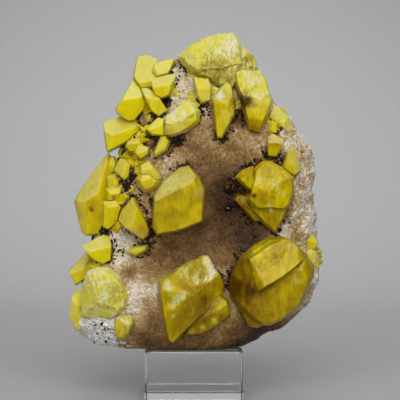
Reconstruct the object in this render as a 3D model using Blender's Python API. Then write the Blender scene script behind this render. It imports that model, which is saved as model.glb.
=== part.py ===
"""Native sulphur crystals grown on a lump of drusy calcite, standing on a clear acrylic block.

+Z is up and the crystals face -Y. The origin is the middle of the block's underside.
Every size is in millimetres until a mesh is made. Outlines are laid out in a front view:
(x, z) pairs at the scale of the mid plane y = 0, seen from EYE, and in_view() brings a
pair to its real place at another depth along the line of sight.
"""

import math

import bmesh
import bpy
import numpy as np

MM = 0.001
GAP = 0.3  # between the specimen and the block that it rests on

# Acrylic block
BLOCK_WIDTH = 34.0
BLOCK_DEPTH = 34.0
BLOCK_HEIGHT = 16.5
BLOCK_BEVEL = 0.4

# Viewpoint of the front view
EYE_X = 2.1
EYE_Z = 68.0
EYE_DISTANCE = 532.0

# Calcite matrix: the rim of its front view, clockwise from the top
MATRIX_CENTRE = (0.0, 66.0)
MATRIX_RIM = [
    (9.8, 123.3), (17.2, 120.5), (22.4, 112.8), (25.9, 104.8), (28.7, 100.9), (34.3, 94.6),
    (38.2, 89.0), (40.3, 83.8), (41.3, 77.8), (40.6, 71.5), (41.7, 62.8), (41.7, 54.0),
    (42.7, 46.3), (42.0, 38.3), (39.9, 33.0), (33.6, 26.4), (25.9, 22.5), (19.6, 18.7),
    (10.9, 14.8), (0.0, 13.4), (-15.4, 14.1), (-25.9, 16.6), (-34.7, 19.4), (-41.3, 22.2),
    (-42.8, 26.7), (-41.2, 33.0), (-38.9, 39.3), (-36.5, 46.3), (-35.7, 52.3), (-35.0, 56.8),
    (-33.0, 61.5), (-31.8, 66.5), (-30.2, 71.5), (-28.2, 76.5), (-26.0, 82.0), (-23.8, 88.0),
    (-21.2, 94.0), (-18.4, 100.0), (-15.5, 105.5), (-12.4, 110.5), (-8.8, 115.2), (-2.8, 119.6),
    (3.5, 122.6),
]
MATRIX_FOOT = BLOCK_HEIGHT + GAP  # height of the flat that it stands on
FRONT_BULGE = 21.0
BACK_BULGE = 19.0
FRONT_POWER = 3.2  # how squarely the front and the back meet the rim
BACK_POWER = 5.0
FOOT_POWER = 4.0  # added to both towards the foot, which is blunter
FOOT_TOP = 48.0
TOP_THINNING = 0.09  # loss of bulge per millimetre above THINNING_START
THINNING_START = 60.0
# Hills and hollows of the front: x, z, radius, height
SWELLS = [
    (14.0, 60.0, 12.0, -5.5),  # hollow between the four big crystals
    (-12.0, 50.0, 13.0, -4.0),  # hollow under the centre crystal
    (2.0, 85.0, 11.0, 2.5),
    (35.0, 68.0, 8.0, 3.0),
    (-31.0, 24.0, 9.0, 3.0),
    (-24.0, 72.0, 10.0, 3.0),
    (-16.0, 92.0, 11.0, 4.0),
    (12.0, 24.0, 11.0, 1.5),
]
# Broken planes of the back: distance behind the mid plane at the centre, slopes along x and z
BACK_BREAKS = [(17.0, 0.18, -0.10), (18.5, -0.30, 0.02), (19.0, 0.02, 0.26), (23.0, -0.05, -0.42)]
BREAK_BLEND = 1.8  # width over which one broken plane rounds into the next
LEAST_BACK = 7.0  # thickness that the broken planes leave behind the mid plane
SQUARES = 20  # along each edge of the cube that the matrix is blown up from, an even number
LUMP_HEIGHT = 0.55
LUMP_WAVES = 14
LUMP_LENGTHS = (7.0, 16.0)
LUMP_SEED = 5


def rim_radius(angle):
    """Distance from MATRIX_CENTRE to the rim in each direction, straight between the rim's points."""
    rim = np.array(MATRIX_RIM) - MATRIX_CENTRE
    return np.interp(angle, np.arctan2(rim[:, 1], rim[:, 0]), np.hypot(*rim.T), period=math.tau)


def share_of_rim(x, z):
    """0 at the matrix's centre in the front view, 1 at its rim."""
    x = x - MATRIX_CENTRE[0]
    z = z - MATRIX_CENTRE[1]
    return np.hypot(x, z) / rim_radius(np.arctan2(z, x))


def roundness(x, z, power):
    """1 at the matrix's centre, falling to 0 at its rim: a superellipse, squarer towards the foot."""
    share = np.minimum(share_of_rim(x, z), 1.0)
    low = np.clip((FOOT_TOP - z) / (FOOT_TOP - MATRIX_FOOT), 0.0, 1.0)
    return np.sqrt(1.0 - share ** (power + FOOT_POWER * low))


def front_depth(x, z):
    """How far the matrix's front stands before the mid plane: a rounded shield, plus the swells."""
    bulge = FRONT_BULGE - TOP_THINNING * np.maximum(z - THINNING_START, 0.0)
    depth = bulge * roundness(x, z, FRONT_POWER)
    for at_x, at_z, radius, height in SWELLS:
        reach = ((x - at_x) ** 2 + (z - at_z) ** 2) / radius**2
        depth = depth + height * np.exp(-reach) * roundness(x, z, BACK_POWER)
    return depth


def back_depth(x, z):
    """How far the back stands behind the mid plane: a flat shield, softly cut by the broken planes."""
    bulge = BACK_BULGE - TOP_THINNING * np.maximum(z - THINNING_START, 0.0)
    total = np.exp(-bulge / BREAK_BLEND)
    for distance, slope_x, slope_z in BACK_BREAKS:
        plane = distance + slope_x * (x - MATRIX_CENTRE[0]) + slope_z * (z - MATRIX_CENTRE[1])
        total = total + np.exp(-np.maximum(plane, LEAST_BACK) / BREAK_BLEND)
    return -BREAK_BLEND * np.log(total) * roundness(x, z, BACK_POWER)


def lumps(points):
    """Low lumps over the matrix: waves of random direction, length and phase, added together."""
    random = np.random.default_rng(LUMP_SEED)
    total = np.zeros(len(points))
    for _ in range(LUMP_WAVES):
        direction = random.normal(size=3)
        length = random.uniform(*LUMP_LENGTHS)
        wave = points @ (direction / np.linalg.norm(direction)) * math.tau / length
        total += np.sin(wave + random.uniform(0.0, math.tau))
    return LUMP_HEIGHT * total / math.sqrt(LUMP_WAVES)


def blown_up(corners):
    """The matrix's points from those of a cube of side 2, as (n, 3) arrays: the cube becomes a ball,
    and the ball the matrix, its great circle y = 0 becoming the rim."""
    ball = np.tan(corners * math.pi / 4)
    ball /= np.linalg.norm(ball, axis=1, keepdims=True)
    angle = np.arctan2(ball[:, 2], ball[:, 0])
    reach = np.hypot(ball[:, 0], ball[:, 2]) * rim_radius(angle)
    x = MATRIX_CENTRE[0] + reach * np.cos(angle)
    z = MATRIX_CENTRE[1] + reach * np.sin(angle)
    y = np.where(ball[:, 1] < 0.0, -front_depth(x, z), back_depth(x, z))
    return np.stack([x, y, z], axis=1)


def make_matrix(colour):
    """The calcite lump: a cube cut into squares, blown up, pushed out by the lumps, flat at the foot."""
    shape = bmesh.new()
    bmesh.ops.create_cube(shape, size=2.0)
    bmesh.ops.subdivide_edges(shape, edges=shape.edges, cuts=SQUARES - 1, use_grid_fill=True)
    move(shape, blown_up(places(shape)))
    bmesh.ops.triangulate(shape, faces=shape.faces)
    shape.normal_update()
    normals = np.array([vert.normal for vert in shape.verts])
    points = places(shape) + normals * lumps(places(shape))[:, None]
    points[:, 2] = np.maximum(points[:, 2], MATRIX_FOOT)
    move(shape, points * MM)
    matrix = placed("specimen", shape, colour)
    matrix.data.shade_smooth()
    return matrix


def places(shape):
    """The places of a bmesh's vertices."""
    return np.array([vert.co for vert in shape.verts])


def move(shape, points):
    """Puts a bmesh's vertices at these points."""
    for vert, point in zip(shape.verts, points):
        vert.co = point


def in_view(x, z, y):
    """The real (x, z) at depth y of a point that the front view shows at (x, z)."""
    scale = 1.0 + y / EYE_DISTANCE
    return EYE_X + (x - EYE_X) * scale, EYE_Z + (z - EYE_Z) * scale


def body(outline, apex, stand, faces, lift=0.0, root=7.0, taper=8.0, chips=(0, 0), behind=False):
    """One convex body of a crystal.

    outline  its front view, the widest section
    apex     the front view's place of its foremost corner
    stand    how far the apex stands out of the matrix there
    faces    front faces: direction round the view and lean from it, in degrees, and how far
             from the apex each begins
    lift     how far before the matrix's surface the widest section lies
    root     how far behind the widest section the body goes
    taper    lean of the sides towards the front, in degrees
    chips    count and seed of small broken faces round the front
    behind   True for a body on the matrix's back, laid out in the same front view
    """
    return {
        "outline": outline, "apex": apex, "stand": stand, "faces": faces,
        "lift": lift, "root": root, "taper": taper, "chips": chips, "behind": behind,
    }


CRYSTALS = {
    "crystal_centre": [
        body([(-14.4, 69.5), (-10.9, 74.6), (-5.3, 79.2), (-1.8, 80.2), (2.3, 76.0), (4.1, 71.5),
              (3.4, 60.3), (-4.9, 57.0), (-13.2, 55.5), (-14.8, 58.2)],
             (-6.0, 71.5), 10.5, [(118, 50, 0), (-66, 9, 0), (12, 52, 5.8), (-96, 40, 12.8)],
             lift=1.5, taper=6, root=10),
    ],
    "crystal_lower_right": [
        body([(12.0, 38.4), (13.2, 43.5), (15.8, 47.9), (20.4, 52.2), (26.2, 55.2), (31.0, 55.6),
              (36.6, 52.6), (39.3, 49.4), (42.2, 45.6), (42.4, 41.8), (39.3, 34.6), (37.2, 30.9),
              (32.6, 26.8), (27.1, 24.0), (24.0, 23.8), (19.9, 26.0), (15.4, 29.9), (12.4, 34.5)],
             (24.5, 40.5), 10.5,
             [(-68, 14, 0), (174, 44, 4.0), (88, 22, 2), (-132, 40, 9.0), (8, 40, 12.5)],
             lift=3, taper=15, root=13),
        body([(18.0, 48.2), (19.3, 50.6), (25.9, 53.2), (29.8, 55.8), (33.4, 54.8), (37.4, 51.6),
              (39.0, 47.2), (38.0, 44.6), (31.9, 41.0), (25.8, 35.8), (21.4, 35.4), (19.4, 41.3)],
             (26.5, 46.0), 13.0, [(80, 12, 0), (98, 48, 5.8), (16, 45, 9.0), (196, 38, 6.0)],
             lift=6, taper=8, root=9),
        body([(15.2, 30.4), (19.6, 32.0), (24.2, 27.0), (24.4, 24.2), (22.4, 23.0), (18.4, 23.6)],
             (19.0, 26.4), 5.0, [(-110, 20, 0), (60, 20, 0)], lift=1, taper=12),
    ],
    "crystal_lower_centre": [
        body([(-12.6, 42.0), (-3.5, 46.0), (1.7, 49.3), (5.3, 48.9), (8.7, 43.6), (11.2, 38.4),
              (9.7, 33.6), (4.0, 28.2), (-7.4, 17.4), (-9.4, 19.1), (-11.2, 27.1), (-12.8, 36.7)],
             (-2.5, 35.0), 11.0,
             [(-108, 14, 0), (80, 28, 0), (-20, 40, 2.5), (168, 46, 8), (44, 46, 9.5)],
             lift=2, root=11),
        body([(-3.6, 20.4), (-1.0, 30.0), (9.0, 35.6), (12.2, 33.5), (13.2, 28.2), (8.0, 23.8),
              (2.4, 21.0)],
             (6.0, 28.0), 5.8, [(-60, 32, 0), (120, 10, 0)], lift=1.5, taper=12, root=9),
    ],
    "crystal_right": [
        body([(18.9, 73.3), (20.7, 79.2), (23.8, 82.0), (26.8, 82.0), (31.2, 79.6), (35.1, 76.1),
              (35.4, 71.3), (33.6, 65.7), (31.5, 63.8), (21.0, 63.6), (17.7, 67.8)],
             (26.0, 70.0), 12.0, [(95, 22, 1), (-28, 24, 0), (-150, 20, 0), (176, 44, 5.5), (48, 40, 8.5)],
             lift=3, taper=11, root=12),
        body([(17.6, 68.4), (25.0, 71.5), (33.6, 66.9), (31.6, 61.6), (28.4, 56.0), (24.6, 58.9),
              (20.0, 63.7)],
             (26.8, 65.5), 9.6, [(-28, 32, 0), (-142, 32, 0), (-80, 20, 0)], lift=2, taper=10, root=10),
        body([(14.0, 75.9), (16.5, 78.7), (21.0, 80.2), (22.0, 72.0), (20.0, 70.0), (16.6, 73.2)],
             (18.5, 76.0), 8.5, [(135, 25, 0), (-60, 10, 0)], lift=2, taper=8, root=9),
        body([(13.6, 68.1), (15.0, 70.4), (20.0, 70.0), (26.0, 63.0), (24.0, 60.0), (21.0, 60.2)],
             (18.2, 66.4), 5.0, [(-130, 26, 0), (60, 12, 0)], lift=1, taper=10, root=8),
    ],
    "crystal_left_edge": [
        body([(-29.4, 84.6), (-30.6, 84.8), (-39.6, 71.9), (-42.3, 67.3), (-41.3, 63.6), (-40.4, 58.5),
              (-39.6, 56.4), (-37.4, 55.2), (-31.5, 55.8), (-28.0, 62.0), (-27.0, 74.0), (-27.5, 82.0)],
             (-35.6, 69.2), 11.5,
             [(128, 42, 0), (-88, 8, 0), (-84, 40, 10.8), (18, 48, 2.6), (196, 44, 3.4)],
             lift=5, root=15, taper=9),
    ],
    "crystal_left_sliver": [
        body([(-30.7, 77.7), (-29.6, 83.2), (-27.6, 83.4), (-26.6, 80.9), (-27.6, 76.8)],
             (-28.9, 80.2), 6.5, [(60, 22, 0), (-120, 20, 0)], lift=1.5, root=9),
    ],
    "crystal_upper_left": [
        body([(-21.2, 110.4), (-27.9, 99.4), (-26.0, 97.0), (-23.0, 95.1), (-20.3, 95.3), (-17.0, 99.1),
              (-16.0, 101.3), (-18.2, 106.6)],
             (-21.9, 103.5), 12.5, [(96, 40, 0), (-84, 10, 0), (14, 48, 3.6)], lift=6, root=14, taper=7),
        body([(-19.7, 118.3), (-16.2, 118.7), (-12.5, 117.1), (-11.6, 111.4), (-13.7, 106.5),
              (-18.8, 106.0), (-21.5, 110.5), (-20.7, 115.1)],
             (-17.2, 109.3), 10.5, [(94, 30, 0), (-74, 24, 0), (180, 44, 3.4)], lift=4, root=12, taper=8),
        body([(-14.6, 115.0), (-12.7, 116.7), (-9.8, 118.9), (-7.7, 117.7), (-5.9, 118.2), (-6.7, 115.0),
              (-8.1, 111.0), (-13.0, 109.4), (-15.4, 112.0)],
             (-10.7, 112.4), 8.5, [(84, 32, 0), (-50, 16, 0), (172, 40, 2.2)], lift=3, root=10, taper=8),
        body([(-15.0, 110.3), (-8.8, 112.2), (-6.0, 112.5), (-7.2, 108.4), (-8.8, 104.1), (-11.3, 103.2),
              (-13.6, 104.2), (-14.8, 107.2)],
             (-11.6, 107.8), 11.0, [(99, 54, 0), (-80, 7, 0), (10, 46, 2.6)], lift=5, root=11, taper=5),
        body([(-18.5, 107.1), (-14.0, 107.4), (-11.9, 103.9), (-9.3, 101.8), (-8.9, 99.2), (-12.2, 96.8),
              (-15.0, 98.8), (-16.4, 101.6)],
             (-14.2, 103.4), 10.4, [(78, 52, 0), (-56, 8, 0), (202, 56, 1.9)], lift=4, root=11, taper=6),
    ],
    "crystal_left_upper": [
        body([(-31.8, 94.8), (-30.8, 95.7), (-25.9, 97.2), (-19.1, 95.9), (-18.4, 93.0), (-18.6, 90.0),
              (-23.4, 87.6), (-27.8, 83.9), (-30.2, 83.6), (-31.2, 87.3)],
             (-24.4, 92.0), 11.0, [(106, 42, 0), (-54, 14, 0), (178, 34, 4.4)], lift=5, root=13, taper=7),
    ],
    "crystals_left_pair": [
        body([(-23.2, 88.7), (-18.4, 90.6), (-18.0, 87.1), (-20.0, 84.4), (-22.6, 84.6), (-24.2, 86.8)],
             (-20.6, 87.8), 6.2, [(90, 25, 0), (-70, 15, 0)], lift=2, root=10, taper=7),
        body([(-19.6, 87.6), (-15.4, 86.6), (-15.7, 83.9), (-18.6, 81.9), (-21.0, 84.3)],
             (-17.8, 84.8), 5.8, [(100, 30, 0), (-60, 15, 0)], lift=2, root=9, taper=7),
    ],
    "crystal_top_small": [
        body([(-0.8, 111.2), (5.5, 111.0), (6.6, 107.6), (6.1, 102.3), (2.6, 101.2), (0.7, 104.0)],
             (3.4, 107.0), 7.0, [(90, 25, 0), (-86, 10, 0), (180, 30, 2)], lift=2, root=9, taper=8),
    ],
    "crystal_top": [
        body([(-6.2, 118.1), (-1.8, 122.4), (3.4, 125.1), (8.4, 126.5), (14.1, 126.9), (16.8, 123.2),
              (18.5, 114.0), (10.0, 110.6), (0.2, 110.2), (-3.9, 114.2)],
             (7.0, 116.0), 9.0, [(96, 30, 1), (-80, 14, 0), (168, 30, 5), (14, 34, 5.5)],
             lift=2, root=14, taper=13, chips=(9, 3)),
        body([(14.0, 123.4), (18.4, 121.0), (22.2, 118.7), (22.7, 115.7), (24.0, 113.3), (20.0, 110.0),
              (12.4, 110.5)],
             (17.8, 115.5), 7.4, [(58, 32, 0), (-70, 16, 0), (180, 18, 3)], lift=2, root=12, taper=12,
             chips=(4, 8)),
        body([(-0.5, 112.5), (5.8, 108.6), (9.4, 106.8), (14.2, 106.6), (18.0, 110.0), (18.5, 115.0),
              (8.0, 118.0), (0.0, 116.0)],
             (9.5, 111.6), 6.4, [(-90, 26, 0), (90, 14, 0), (175, 30, 4)], lift=2, root=12, taper=16,
             chips=(5, 7)),
        body([(12.7, 112.3), (16.3, 114.0), (23.4, 113.8), (25.8, 110.3), (27.8, 102.5), (25.8, 96.9),
              (22.8, 91.3), (18.6, 92.4), (16.7, 94.4), (15.5, 98.9), (14.4, 103.2), (14.1, 107.8)],
             (20.0, 103.0), 11.0, [(74, 30, 1.5), (-90, 12, 0), (176, 36, 3.6), (-4, 34, 3.6)],
             lift=3, root=12, chips=(7, 11)),
    ],
    "crystal_rim_crust": [
        body([(24.6, 96.4), (27.3, 102.3), (30.8, 99.9), (33.5, 97.1), (35.4, 92.5), (33.0, 90.6),
              (27.4, 94.3)],
             (29.6, 96.4), 4.6, [(45, 26, 0), (-110, 14, 0)], lift=0.5, root=8, taper=14, chips=(5, 12)),
    ],
    "crystal_spike": [
        body([(5.7, 103.8), (9.4, 108.0), (11.3, 110.4), (13.6, 107.9), (14.9, 102.8), (14.5, 97.6),
              (10.0, 89.2), (7.8, 89.0), (7.0, 93.2), (6.4, 98.9)],
             (10.4, 100.6), 9.0, [(-100, 12, 0), (94, 26, 2), (183, 32, 1.0), (-8, 38, 1.4)], lift=2.5,
             root=10, taper=7),
    ],
    "crystal_broken_ridge": [
        body([(-11.0, 96.8), (-4.1, 102.6), (-1.8, 103.2), (0.7, 101.6), (2.4, 99.2), (2.0, 95.0),
              (-2.7, 91.3), (-7.7, 89.4), (-11.4, 89.9)],
             (-4.0, 96.5), 9.0, [(118, 30, 0), (-60, 26, 0), (-150, 24, 4), (20, 30, 4)], lift=2, root=10,
             taper=11, chips=(5, 21)),
        body([(-17.2, 92.6), (-12.7, 97.0), (-10.0, 96.4), (-9.8, 89.8), (-14.8, 90.2)],
             (-13.4, 93.4), 6.8, [(112, 42, 0), (-65, 14, 0)], lift=1, root=8, taper=8),
    ],
    "crystal_blade": [
        body([(-11.8, 90.4), (-9.6, 90.8), (-8.0, 88.4), (-9.3, 85.3), (-13.7, 82.7), (-14.4, 84.6)],
             (-11.2, 87.2), 5.4, [(150, 22, 0), (-35, 14, 0)], lift=1, taper=10),
    ],
    "crystal_left_flagged": [
        body([(-28.2, 78.5), (-26.0, 82.6), (-24.1, 82.4), (-21.5, 80.8), (-22.1, 75.9), (-24.2, 74.0),
              (-25.7, 75.6)],
             (-24.6, 78.6), 7.6, [(160, 36, 0), (-12, 34, 0.6), (-92, 34, 3.6)], lift=2, taper=8, root=9),
    ],
    "crystals_left_middle": [
        body([(-31.0, 76.5), (-28.0, 77.4), (-24.9, 76.3), (-24.0, 72.4), (-27.4, 69.8), (-31.0, 70.5)],
             (-27.5, 74.0), 5.6, [(60, 28, 0), (-140, 24, 0), (-50, 20, 0)],
             lift=1, taper=13, chips=(4, 31)),
        body([(-31.2, 71.9), (-28.5, 73.0), (-24.3, 72.6), (-24.6, 69.8), (-26.7, 67.0), (-30.4, 66.9)],
             (-27.9, 70.2), 7.2, [(80, 20, 0), (-60, 18, 0), (180, 28, 1.6)], lift=2, taper=14, root=9),
        body([(-31.9, 67.6), (-26.9, 68.4), (-24.9, 65.4), (-26.6, 60.0), (-29.9, 57.6), (-31.9, 58.4)],
             (-28.4, 65.6), 6.6, [(96, 28, 0), (-80, 14, 0), (185, 34, 2)], lift=2, taper=8, root=9),
    ],
    "crystal_prism": [
        body([(-23.3, 67.2), (-21.8, 69.1), (-20.8, 68.8), (-18.1, 64.4), (-16.7, 60.9), (-15.5, 57.7),
              (-15.7, 55.5), (-18.0, 53.8), (-21.2, 53.9), (-24.5, 58.2), (-27.0, 59.8), (-25.5, 64.4)],
             (-20.8, 62.6), 8.4, [(158, 36, 0), (-14, 36, 0.2), (-84, 28, 4.2)], lift=2, taper=7, root=9),
    ],
    "crystals_hexagonal": [
        body([(-20.7, 75.3), (-18.9, 77.5), (-15.1, 78.0), (-11.6, 74.6), (-12.8, 72.2), (-15.4, 70.4),
              (-17.7, 70.6), (-19.7, 72.7)],
             (-16.3, 75.0), 6.6, [(100, 14, 0), (-70, 20, 0), (180, 32, 2)], lift=1, taper=16, root=8),
        body([(-19.1, 76.8), (-19.1, 80.1), (-16.2, 82.1), (-14.9, 81.2), (-12.4, 78.1), (-11.1, 75.4),
              (-13.0, 74.0)],
             (-15.6, 78.8), 5.0, [(95, 26, 0), (-80, 10, 0)], lift=1, taper=12),
    ],
    "crystal_corner_small": [
        body([(25.3, 90.2), (27.7, 91.3), (31.6, 89.3), (30.8, 86.0), (28.9, 82.9), (25.7, 83.2),
              (25.3, 87.1)],
             (28.2, 88.0), 6.2, [(85, 40, 0), (-85, 8, 0)], lift=2, taper=7),
    ],
    "crystal_corner_blade": [
        body([(29.3, 83.3), (32.2, 84.9), (33.2, 88.5), (35.0, 88.5), (37.6, 78.4), (34.9, 76.0),
              (32.1, 78.0), (29.4, 80.7)],
             (33.4, 81.5), 6.2, [(20, 44, 0.6), (-140, 12, 0), (160, 30, 2)], lift=2, taper=8, root=8),
    ],
    "crystal_left_wedge": [
        body([(-39.4, 52.0), (-29.6, 57.1), (-28.4, 52.0), (-28.7, 47.0), (-31.6, 45.4), (-34.9, 46.9),
              (-38.0, 49.6)],
             (-33.2, 50.6), 8.2, [(104, 46, 0), (-75, 12, 0), (200, 44, 3.4)], lift=3, root=12, taper=6),
    ],
    "crystal_left_corner": [
        body([(-44.0, 43.2), (-41.8, 45.5), (-37.7, 49.6), (-35.0, 47.6), (-35.6, 44.0), (-36.9, 41.0),
              (-41.4, 37.8)],
             (-40.2, 43.4), 8.0, [(118, 40, 0), (-80, 12, 0), (20, 32, 1.8)], lift=3, root=13, taper=7),
    ],
    "crystal_broken_left": [
        body([(-37.8, 43.0), (-34.4, 44.9), (-29.6, 44.9), (-25.3, 41.2), (-22.9, 36.7), (-22.5, 33.5),
              (-23.8, 29.4), (-27.6, 26.8), (-35.0, 25.0), (-40.5, 27.1), (-40.5, 36.0)],
             (-31.0, 36.5), 7.8, [(80, 24, 2), (-20, 24, 2), (-95, 20, 2), (170, 26, 3), (0, 4, 0)],
             lift=1.5, root=12, taper=15, chips=(10, 41)),
        body([(-43.0, 34.3), (-41.0, 36.8), (-36.0, 36.5), (-36.0, 24.6), (-41.0, 22.4), (-44.0, 26.9)],
             (-40.2, 31.5), 7.0, [(120, 24, 0), (-80, 16, 0), (185, 36, 1)], lift=3, root=12, taper=10),
    ],
    "crystal_green_small": [
        body([(-27.8, 27.7), (-24.4, 28.5), (-21.0, 27.7), (-20.1, 25.1), (-21.8, 22.1), (-23.8, 18.8),
              (-27.3, 19.2), (-28.3, 23.1)],
             (-24.3, 24.2), 5.4, [(60, 26, 0), (-45, 26, 0), (-160, 24, 0)],
             lift=1, taper=13, chips=(4, 51)),
    ],
    "crystal_sunken": [
        body([(-24.8, 50.0), (-20.3, 52.1), (-15.8, 52.6), (-16.4, 50.2), (-20.3, 48.1)],
             (-20.3, 50.4), 3.4, [(100, 30, 0), (-85, 12, 0)], lift=0.5, taper=16),
    ],
    "crystal_right_edge": [
        body([(38.9, 56.0), (41.0, 56.3), (42.2, 55.4), (43.7, 53.2), (42.3, 50.6), (38.9, 50.3)],
             (41.2, 53.6), 6.5, [(60, 34, 0), (-70, 18, 0)], lift=3, root=10, taper=8),
    ],
    "crystal_right_edge_low": [
        body([(38.6, 50.2), (40.7, 51.5), (42.9, 50.1), (42.6, 44.6), (40.0, 45.6)],
             (41.0, 49.0), 6.0, [(150, 30, 0), (-40, 22, 0)], lift=2.5, root=10, taper=8),
    ],
    "crystals_back_upper": [
        body([(1.0, 95.0), (4.0, 99.5), (10.5, 98.0), (15.5, 92.0), (13.0, 85.5), (5.0, 84.0)],
             (7.5, 92.5), 5.5, [(70, 36, 0), (-95, 14, 0), (165, 32, 3)], lift=0.5, root=8, taper=11,
             behind=True),
        body([(12.0, 88.0), (17.5, 89.0), (20.0, 84.0), (15.5, 80.0), (11.0, 83.0)],
             (15.5, 85.0), 4.0, [(50, 30, 0), (-110, 20, 0)], lift=0.5, taper=12, behind=True),
    ],
    "crystals_back_lower": [
        body([(-24.0, 48.0), (-18.0, 53.5), (-10.0, 50.5), (-8.0, 43.5), (-12.5, 37.0), (-21.0, 38.5)],
             (-17.0, 46.0), 6.5, [(105, 36, 0), (-66, 12, 0), (190, 34, 3.5)], lift=1, root=9, taper=12,
             behind=True),
        body([(-11.0, 42.5), (-6.0, 44.0), (-3.0, 39.0), (-6.5, 34.5), (-11.5, 36.5)],
             (-7.5, 40.0), 4.5, [(85, 34, 0), (-80, 14, 0)], lift=0.5, taper=10, behind=True),
    ],
}
BACK_TAPER = 14.0  # lean of every body's sides towards its back
BLANK = 120.0  # side of the block that a body is cleaved from
SEAM = 0.02  # corners closer than this are one
CHIP_LEAN = (28.0, 52.0)
CHIP_BEGINS = (0.35, 0.75)  # shares of the outline's mean radius


def turned(direction, lean):
    """A unit vector towards the viewer, leaned away by lean in that direction round the view."""
    direction, lean = math.radians(direction), math.radians(lean)
    out = math.sin(lean)
    return np.array([out * math.cos(direction), -math.cos(lean), out * math.sin(direction)])


def side_planes(body, girdle):
    """Two planes through each edge of the outline: one leans in towards the front, one towards the back."""
    outline = np.array([in_view(x, z, girdle) for x, z in body["outline"]])
    middle = outline.mean(axis=0)
    planes = []
    for start, end in zip(outline, np.roll(outline, -1, axis=0)):
        along = (end - start) / np.hypot(*(end - start))
        out = np.array([along[1], -along[0]])
        out = out if out @ (start - middle) > 0 else -out
        for lean in (body["taper"], -BACK_TAPER):
            lean = math.radians(lean)
            normal = np.array([math.cos(lean) * out[0], -math.sin(lean), math.cos(lean) * out[1]])
            planes.append((np.array([start[0], girdle, start[1]]), normal))
    return planes, middle, np.hypot(*(outline - middle).T).mean()


def front_planes(body, apex, radius):
    """The named faces and the seeded chips, each beginning at its distance from the apex."""
    faces = list(body["faces"])
    count, seed = body["chips"]
    random = np.random.default_rng(seed)
    for i in range(count):
        direction = 360.0 * (i + random.uniform(-0.3, 0.3)) / count
        faces.append((direction, random.uniform(*CHIP_LEAN), radius * random.uniform(*CHIP_BEGINS)))
    planes = []
    for direction, lean, begins in faces:
        start = apex + begins * turned(direction, 90.0)
        planes.append((start, turned(direction, lean)))
    return planes


def planes_of(body):
    """The faces of a body as (point, outward normal), and a point inside it, in millimetres."""
    depth = back_depth if body["behind"] else front_depth
    middle = np.mean(body["outline"], axis=0)
    girdle = -(float(depth(*middle)) + body["lift"])
    apex_y = -(float(depth(*body["apex"])) + body["stand"])
    apex_x, apex_z = in_view(*body["apex"], apex_y)
    planes, centre, radius = side_planes(body, girdle)
    planes += front_planes(body, np.array([apex_x, apex_y, apex_z]), radius)
    planes.append((np.array([centre[0], girdle + body["root"], centre[1]]), np.array([0.0, 1.0, 0.0])))
    inside = np.array([centre[0], girdle, centre[1]])
    if body["behind"]:
        facing = np.array([1.0, -1.0, 1.0])
        planes = [(point * facing, normal * facing) for point, normal in planes]
        inside = inside * facing
    return planes, inside


def cleaved(name, body, colour):
    """The body cleaved from a blank cube, plane by plane."""
    planes, inside = planes_of(body)
    shape = bmesh.new()
    bmesh.ops.create_cube(shape, size=BLANK)
    bmesh.ops.translate(shape, verts=shape.verts, vec=inside)
    for point, normal in planes:
        everything = shape.verts[:] + shape.edges[:] + shape.faces[:]
        cut = bmesh.ops.bisect_plane(
            shape, geom=everything, plane_co=point, plane_no=normal, clear_outer=True, dist=1e-5
        )
        rim = [part for part in cut["geom_cut"] if isinstance(part, bmesh.types.BMEdge)]
        if rim:
            bmesh.ops.edgeloop_fill(shape, edges=rim)
    bmesh.ops.remove_doubles(shape, verts=shape.verts, dist=SEAM)
    bmesh.ops.recalc_face_normals(shape, faces=shape.faces)
    bmesh.ops.scale(shape, vec=(MM, MM, MM), verts=shape.verts)
    return placed(name, shape, colour)


def placed(name, shape, colour):
    """A new object in the scene, made from the bmesh."""
    mesh = bpy.data.meshes.new(name)
    shape.to_mesh(mesh)
    shape.free()
    mesh.materials.append(colour)
    made = bpy.data.objects.new(name, mesh)
    bpy.context.scene.collection.objects.link(made)
    return made


def grown_together(base, crystals):
    """Joins the crystals to the matrix that they grow from, as one closed solid."""
    group = bpy.data.collections.new("crystals")
    for crystal in crystals:
        group.objects.link(crystal)
    union = base.modifiers.new("crystals", "BOOLEAN")
    union.operation = "UNION"
    union.operand_type = "COLLECTION"
    union.collection = group
    union.solver = "EXACT"
    union.material_mode = "TRANSFER"
    graph = bpy.context.evaluated_depsgraph_get()
    mesh = bpy.data.meshes.new_from_object(base.evaluated_get(graph))
    base.modifiers.clear()
    base.data = mesh
    for crystal in crystals:
        bpy.data.objects.remove(crystal)
    bpy.data.collections.remove(group)


def material(name, colour, roughness, transmission=0.0):
    """A Principled BSDF."""
    made = bpy.data.materials.new(name)
    made.use_nodes = True
    shader = made.node_tree.nodes["Principled BSDF"]
    shader.inputs["Base Color"].default_value = (*colour, 1.0)
    shader.inputs["Roughness"].default_value = roughness
    shader.inputs["Metallic"].default_value = 0.0
    shader.inputs["Transmission Weight"].default_value = transmission
    return made


def make_block():
    """The acrylic block, with its edges broken by a narrow bevel."""
    shape = bmesh.new()
    bmesh.ops.create_cube(shape, size=1.0)
    size = (BLOCK_WIDTH * MM, BLOCK_DEPTH * MM, BLOCK_HEIGHT * MM)
    bmesh.ops.scale(shape, vec=size, verts=shape.verts)
    bmesh.ops.translate(shape, vec=(0.0, 0.0, BLOCK_HEIGHT * MM / 2), verts=shape.verts)
    block = placed("display_block", shape, material("acrylic", (0.95, 0.97, 0.98), 0.03, 1.0))
    bevel = block.modifiers.new("broken edges", "BEVEL")
    bevel.width = BLOCK_BEVEL * MM
    bevel.segments = 1


def make_specimen():
    """The calcite matrix with all its sulphur crystals."""
    matrix = make_matrix(material("calcite", (0.62, 0.53, 0.42), 0.6))
    sulphur = material("sulphur", (0.78, 0.66, 0.02), 0.3, 0.2)
    crystals = [cleaved(name, each, sulphur) for name, bodies in CRYSTALS.items() for each in bodies]
    grown_together(matrix, crystals)


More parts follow.
